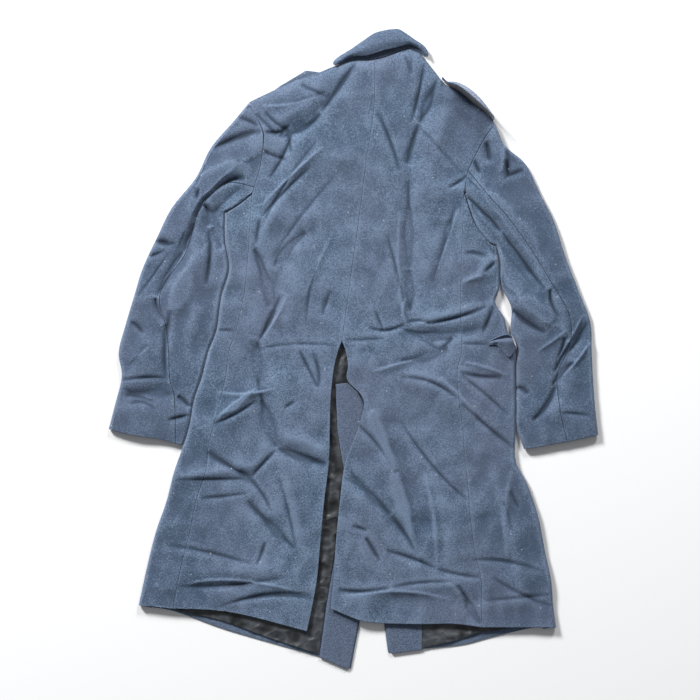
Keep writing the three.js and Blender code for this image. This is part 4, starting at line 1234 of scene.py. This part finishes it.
# Lining, facings and vent underlap on the fronts: two long sides of each, listed from the top down
LINING_LEFT = {
    "side_a": [
  [-251, -4], [-283, -100], [-307, -190], [-327, -260], [-355, -380], [-377, -460], [-385, -502],
],
    "side_b": [[61, 8], [43, -128], [25, -262], [-12, -262], [-18.5, -300], [-54.5, -504], [-70, -608]],
    "bottom": [[-385, -502], [-345, -522], [-267, -540], [-177, -572], [-70, -608]],
}
FACING_LEFT = {
    "side_a": [[-10, -264], [-17, -300], [-53, -504], [-68, -614]],
    "side_b": [[30, -264], [26.5, -300], [10.5, -540], [-7, -632], [-13, -638]],
    "bottom": [[-68, -614], [-13, -638]],
}
LINING_RIGHT = {
    "side_a": [[137.5, -420], [137.5, -596]],
    "side_b": [[357, -420], [357, -536]],
    "bottom": [[137.5, -596], [205, -580], [255, -564], [305, -556], [357, -536]],
}
FACING_RIGHT = {
    "side_a": [[67, -420], [64, -546], [71.5, -602], [77, -607]],
    "side_b": [[137, -420], [137, -599]],
    "bottom": [[77, -607], [137, -599]],
}
VENT_UNDERLAP = {
    "side_a": [[-36, -68], [-32, -160], [-22, -222], [-17, -248]],
    "side_b": [[-13, -66], [7, -82], [19, -104], [29, -140], [21, -200], [9, -248]],
    "bottom": [[-17, -248], [9, -248]],
}


# Satin crumples: short folds in the vent slit and along the hems, flat under the vent underlap
CRUMPLES = as_rows(FOLD_COLUMNS, [
    # Across the slit
    (-47, -44, -35, -62, -21, -82, 2.6, 5, 4),
    (-21, -12, -25, -32, -19, -52, 2, 3, 3),
    (-49, -102, -35, -88, -19, -106, 2.2, 5, 5),
    (-51, -148, -37, -132, -23, -158, 2.4, 4, 5),
    (-53, -194, -41, -178, -23, -192, 2.6, 5, 4),
    (-57, -222, -39, -242, -23, -220, 2.2, 4, 4),
    (-59, -258, -43, -246, -25, -274, 2.6, 6, 4),
    (-61, -292, -45, -312, -29, -294, 2.2, 4, 4),
    (-65, -326, -47, -342, -31, -324, 2.6, 5, 5),
    (-67, -362, -51, -346, -35, -374, 2.4, 4, 4),
    (-69, -392, -53, -408, -37, -388, 2.2, 5, 4),
    (-71, -426, -55, -414, -41, -442, 2.6, 4, 5),
    (-73, -460, -59, -478, -45, -458, 2.2, 4, 4),
    (-75, -498, -61, -482, -49, -510, 2.4, 5, 4),
    (-77, -530, -65, -546, -53, -522, 2.2, 4, 4),
    # Along the slit
    (-39, -108, -49, -160, -37, -212, 1.6, 4, 4),
    (-51, -240, -37, -290, -51, -342, 1.8, 4, 4),
    (-55, -360, -47, -412, -61, -472, 1.6, 4, 4),
    # Left hem
    (-255, -552, -227, -570, -195, -566, 2, 4, 4),
    (-207, -558, -183, -586, -149, -580, 2.4, 5, 4),
    (-227, -542, -179, -560, -123, -562, 1.8, 4, 4),
    (-167, -574, -139, -600, -105, -586, 2.4, 4, 5),
    (-129, -578, -105, -612, -73, -598, 2.2, 5, 4),
    (-101, -572, -89, -590, -65, -572, 2, 4, 4),
    # Right hem
    (143, -568, 165, -592, 191, -570, 2.2, 4, 4),
    (171, -562, 199, -582, 227, -564, 2.4, 5, 4),
    (151, -592, 185, -580, 219, -582, 2, 4, 4),
    (203, -558, 225, -576, 253, -560, 2, 4, 4),
    (261, -552, 285, -568, 313, -554, 1.8, 4, 4),
])
MOST_CRUMPLE = 4.2
CRUMPLE_BASE = 0.9
CRUMPLE_RIPPLE = 0.5
CRUMPLE_REACH = 1.5
UNDERLAP_FOOT = -270
UNDERLAP_HEAD = -62
UNDERLAP_SIDE = -40


def crinkle(plan):
    points = plan.reshape(-1, 2)
    x, y = points[:, 0], points[:, 1]
    beside_vent = smooth(CRUMPLE_REACH - nearest_on(VENT_LINE, points)[0] / OPEN_EDGE)
    under_flap = smooth((y - UNDERLAP_FOOT) / 16) * smooth((UNDERLAP_HEAD - y) / 12)
    under_flap = under_flap * smooth((x - UNDERLAP_SIDE) / 8)
    shown = np.maximum(beside_vent * (1 - under_flap), smooth((HEM_ZONE - 12 - y) / 20))
    ripple = np.sin(0.11 * x + 2 * np.sin(0.05 * y)) * np.sin(0.14 * y + 1.5 * np.sin(0.07 * x))
    rise = CRUMPLE_BASE + CRUMPLE_RIPPLE * ripple
    add_folds(rise, points, CRUMPLES, CRUMPLE_DEPTH, 1, fading_ends, CRUMPLE_SOFTNESS)
    return (shown * np.clip(rise, 0, MOST_CRUMPLE)).reshape(plan.shape[:-1])


def make_flat(name, sheet, floor, thickness, slot, size, cell, rise=None):
    side_a = broken_line(sheet["side_a"])
    side_b = broken_line(sheet["side_b"])
    top = broken_line(sheet.get("top") or [sheet["side_a"][0], sheet["side_b"][0]])
    bottom = curve_through(sheet["bottom"])
    u, full_u = stations(size[0], cell)
    v, full_v = stations(size[1], cell)
    plan = patch(side_a, side_b, top, bottom, u, v)
    height = np.full(plan.shape[:2], float(floor + thickness))
    if rise:
        height = height + rise(plan)
    finish_piece(name, layer_mesh(plan, height, thickness, both_ways(full_v, full_u)), slot)


make_flat("lining_left", LINING_LEFT, ON_FRONT, LINING, "lining", (300, 600), CELL_SATIN, crinkle)
make_flat("lining_right", LINING_RIGHT, ON_FRONT, LINING, "lining", (219, 150), CELL_SATIN_HEM, crinkle)
make_flat("facing_left", FACING_LEFT, ON_FRONT, FACING, "facing", (50, 374), CELL_FACING)
make_flat("facing_right", FACING_RIGHT, ON_FRONT, FACING, "facing", (70, 187), CELL_FACING)
ON_LINING = ON_FRONT + LINING + LAYER_GAP
make_flat("vent_underlap", VENT_UNDERLAP, ON_LINING, FACING, "facing", (45, 180), CELL_FLAT)

# Collar: the stand lies along the neck and the fall stands up from it and leans back
COLLAR_LENGTH = 190
STAND_WIDTH = 30
FALL_WIDTH = 52
COLLAR_END_RISE = 13
COLLAR_NECK = LEFT_NECKLINE + RIGHT_NECKLINE[1:]
COLLAR_ROLL = [
  [-41, 570], [-39, 578], [-27, 588], [-7, 600], [19, 618], [45, 634], [85, 641.5], [103, 634],
  [123, 620], [137, 611], [147, 600], [150, 588],
]
COLLAR_EDGE = [
  [-36, 568], [-21, 577], [-1, 586], [27, 589], [57, 596], [89, 606], [111, 610], [127, 605],
  [139, 595], [147, 585.5],
]
STAND_END = 8
NECK_GAP = 1.3

# Section of the fall from the roll to the edge: share of the way out, least height, share of the rise
FALL_SECTION = as_rows(("out", "least", "share"), [
    (0, 8.5, 0.3),
    (0.25, 11, 0.76),
    (0.62, 12, 0.92),
    (1, 11, 0.72),
])
EDGE_WAVE = 1.1
EDGE_WAVES = 3.1


def wall_mesh(middle, fullness, thickness):
    across = np.gradient(middle, axis=1)
    down = np.gradient(middle, axis=0)
    normal = np.cross(across, down)
    normal /= np.linalg.norm(normal, axis=-1, keepdims=True)
    half = (thickness / 2 * fullness)[..., None]
    return shell_mesh(middle + normal * half, middle - normal * half)


def spline_at(points, t):
    p = with_ends_doubled(np.array(points, float))
    s = t * (len(p) - 3)
    i = min(int(s), len(p) - 4)
    return between(p, i, s - i)


def make_collar():
    neck = shifted(curve_through(COLLAR_NECK), -NECK_GAP)
    roll = curve_through(COLLAR_ROLL)
    edge = curve_through(COLLAR_EDGE)
    stand_end = shifted(roll, STAND_END)
    ends = np.array([0.0, 1.0])
    along, full_along = stations(COLLAR_LENGTH, CELL_SMALL)
    up, full_up = stations(STAND_WIDTH, CELL_SMALL)
    plan = patch(
        neck,
        stand_end,
        straight(neck(ends)[0], stand_end(ends)[0]),
        straight(neck(ends)[1], stand_end(ends)[1]),
        up,
        along,
    )
    height = EDGE_TOP + 1.4 * smooth(up)[None] + np.zeros(plan.shape[:2])
    finish_piece("collar_stand", layer_mesh(plan, height, COLLAR, both_ways(full_along, full_up)), "facing")

    up, full_up = stations(FALL_WIDTH, CELL_SMALL)
    bow = np.sin(np.pi * along) ** 0.7
    rise = COLLAR_END_RISE + (COLLAR_RISE - COLLAR_END_RISE) * bow
    run = direction(roll, along)
    rolled = roll(along)
    reach = np.maximum(3, np.linalg.norm(edge(along) - rolled, axis=-1))
    away = COLLAR / 2
    zeros = np.zeros(len(along))
    path = [
        (zeros + STAND_END - SEAM_GAP * 1.5, zeros + EDGE_TOP - 0.1),
        (zeros + 3.6, zeros + EDGE_TOP + 0.6),
    ]
    for row in FALL_SECTION:
        path.append((away + (reach - away) * row["out"], np.maximum(row["least"], rise * row["share"])))
    section = np.stack([spline_at(path, t) for t in up])
    wave = EDGE_WAVE * np.sin(2 * np.pi * (along * EDGE_WAVES + 0.2)) * np.sin(np.pi * along)
    section[:, 0] += (up[:, None] ** 2) * wave[None]
    inward = np.stack([run[:, 1], -run[:, 0]], axis=-1)
    to_edge = edge(along) - rolled
    to_edge /= np.linalg.norm(to_edge, axis=-1, keepdims=True)
    over = smooth((up - 0.3) / 0.5)[:, None, None]
    away_line = inward[None] * (1 - over) + to_edge[None] * over
    plan = rolled[None] + away_line * section[:, 0, :, None]
    middle = with_height(plan, section[:, 1])
    finish_piece("collar_fall", wall_mesh(middle, both_ways(full_up, full_along), COLLAR), "wool", worn_and_shaded=False)


make_collar()

# Shoulder straps: the left one lies under its shoulder, the right one stands off the shoulder
STRAP_LEFT = {
    "side_a": [[-179, 504], [-151, 464]],
    "side_b": [[-71, 556], [-57, 544], [-41, 506]],
    "top": [[-179, 504], [-147, 528], [-95, 559], [-71, 556]],
    "bottom": [[-151, 464], [-41, 506]],
}
make_flat("shoulder_strap_left", STRAP_LEFT, 0, STRAP, "wool", (138, 60), CELL_FLAT)
STRAP_LENGTH = 120
STRAP_BOW = 15
STRAP_LEAN = 11


def make_standing_strap():
    shoulder = curve_through([[175, 541], [185, 529.5], [207, 520], [239, 494], [271, 468], [278, 459]])
    touch = STRAP / 2 + SEAM_GAP + 0.6
    along, full_along = stations(STRAP_LENGTH, CELL_SMALL)
    up, full_up = stations(STRAP_WIDTH, CELL_SMALL)
    bow = np.sin(np.pi * along)
    lean = 1 + STRAP_LEAN * bow
    out = touch + STRAP_BOW * bow[None] - lean[None] * up[:, None]
    run = direction(shoulder, along)
    base = shoulder(along)
    x = base[:, 0] - run[:, 1] * out
    y = base[:, 1] + run[:, 0] * out
    z = 1.4 + np.sqrt(STRAP_WIDTH**2 - lean**2)[None] * up[:, None]
    middle = np.stack([x, y, z], axis=-1)
    mesh = wall_mesh(middle, both_ways(full_up, full_along), STRAP)
    finish_piece("shoulder_strap_right", mesh, "wool", worn_and_shaded=False)


make_standing_strap()


# Pocket flap at the right side, twisted into an open loop: lines along it and their heights
FLAP_LINES = as_rows(("name", "rise", "line"), [
    ("upper edge", 8, [
  [269, 16.5], [276, 20.5], [284, 25], [293, 28.5], [302, 31], [309, 31], [315, 27],
]),
    ("hollow", 2.5, [[269, 15], [277, 18], [285, 21], [294, 23], [303, 25], [310, 25], [316, 23]]),
    ("ridge", 9, [[269.5, 13], [277.5, 15], [286, 17], [295, 17], [304, 17], [312, 18], [318, 18.5]]),
    ("belly", 7, [[269.5, 11], [278, 13], [286.5, 14], [296.5, 7], [306.5, 2], [315, 6], [321, 11]]),
    ("tip", 4.5, [[270, 9.5], [278, 11], [287, 10], [298, -3], [310, -14.5], [319, -5], [324, 6]]),
])


FLAP_LENGTH = 60
FLAP_WIDTH = 45
FLAP_CELL = 1


def make_pocket_flap():
    along, full_along = stations(FLAP_LENGTH, FLAP_CELL)
    across, full_across = stations(FLAP_WIDTH, FLAP_CELL)
    lines = [curve_through(row["line"])(along) for row in FLAP_LINES]
    floor = upper_height(lines[2][:1])[0] + STRAP / 2 + SEAM_GAP
    lift = smooth(2 * along)
    path = [with_height(line, floor + row["rise"] * lift) for line, row in zip(lines, FLAP_LINES)]
    middle = np.stack([spline_at(path, t) for t in across])
    mesh = wall_mesh(middle, both_ways(full_across, full_along), STRAP)
    finish_piece("pocket_flap_right", mesh, "wool", worn_and_shaded=False)


make_pocket_flap()

# Floor, light and camera
bpy.ops.object.select_all(action="DESELECT")
bpy.ops.mesh.primitive_plane_add(size=12, location=(0, 0, 0))
floor = bpy.context.object
floor.name = "floor"
floor_material = bpy.data.materials.new("pale floor")
floor_material.use_nodes = True
floor_shader = floor_material.node_tree.nodes["Principled BSDF"]
socket_value(floor_shader, "Base Color", (0.86, 0.86, 0.86, 1))
socket_value(floor_shader, "Roughness", 0.9)
socket_value(floor_shader, "Specular IOR Level", 0.1)
floor.data.materials.append(floor_material)


def add_area_light(name, place, size, power):
    light = bpy.data.lights.new(name, "AREA")
    light.shape = "DISK"
    light.size = size
    light.energy = power
    lamp = bpy.data.objects.new(name, light)
    bpy.context.scene.collection.objects.link(lamp)
    x, y, z = place
    turn = math.atan2(-y, -x)
    tilt = math.acos(z / math.hypot(x, y, z))
    lamp.location = place
    lamp.rotation_euler = (tilt, 0, turn - math.pi / 2)


add_area_light("key light", place=(-3.4, 4.4, 3.1), size=1.5, power=640)
add_area_light("side light", place=(1.8, 5.2, 3.2), size=1.7, power=230)
world = bpy.data.worlds.new("soft room")
world.use_nodes = True
socket_value(world.node_tree.nodes["Background"], "Color", (0.93, 0.96, 1.0, 1))
socket_value(world.node_tree.nodes["Background"], "Strength", 0.24)
bpy.context.scene.world = world

CAMERA_HEIGHT = 6.0
FRAME_WIDTH = 1.4
FRAME_CENTRE_X = -0.007
SENSOR_WIDTH = 36
camera = bpy.data.cameras.new("camera")
camera.sensor_width = SENSOR_WIDTH
camera.lens = SENSOR_WIDTH * CAMERA_HEIGHT / FRAME_WIDTH
eye = bpy.data.objects.new("camera", camera)
eye.location = (FRAME_CENTRE_X, 0, CAMERA_HEIGHT)
bpy.context.scene.collection.objects.link(eye)
bpy.context.scene.camera = eye
bpy.context.scene.view_settings.view_transform = "Standard"
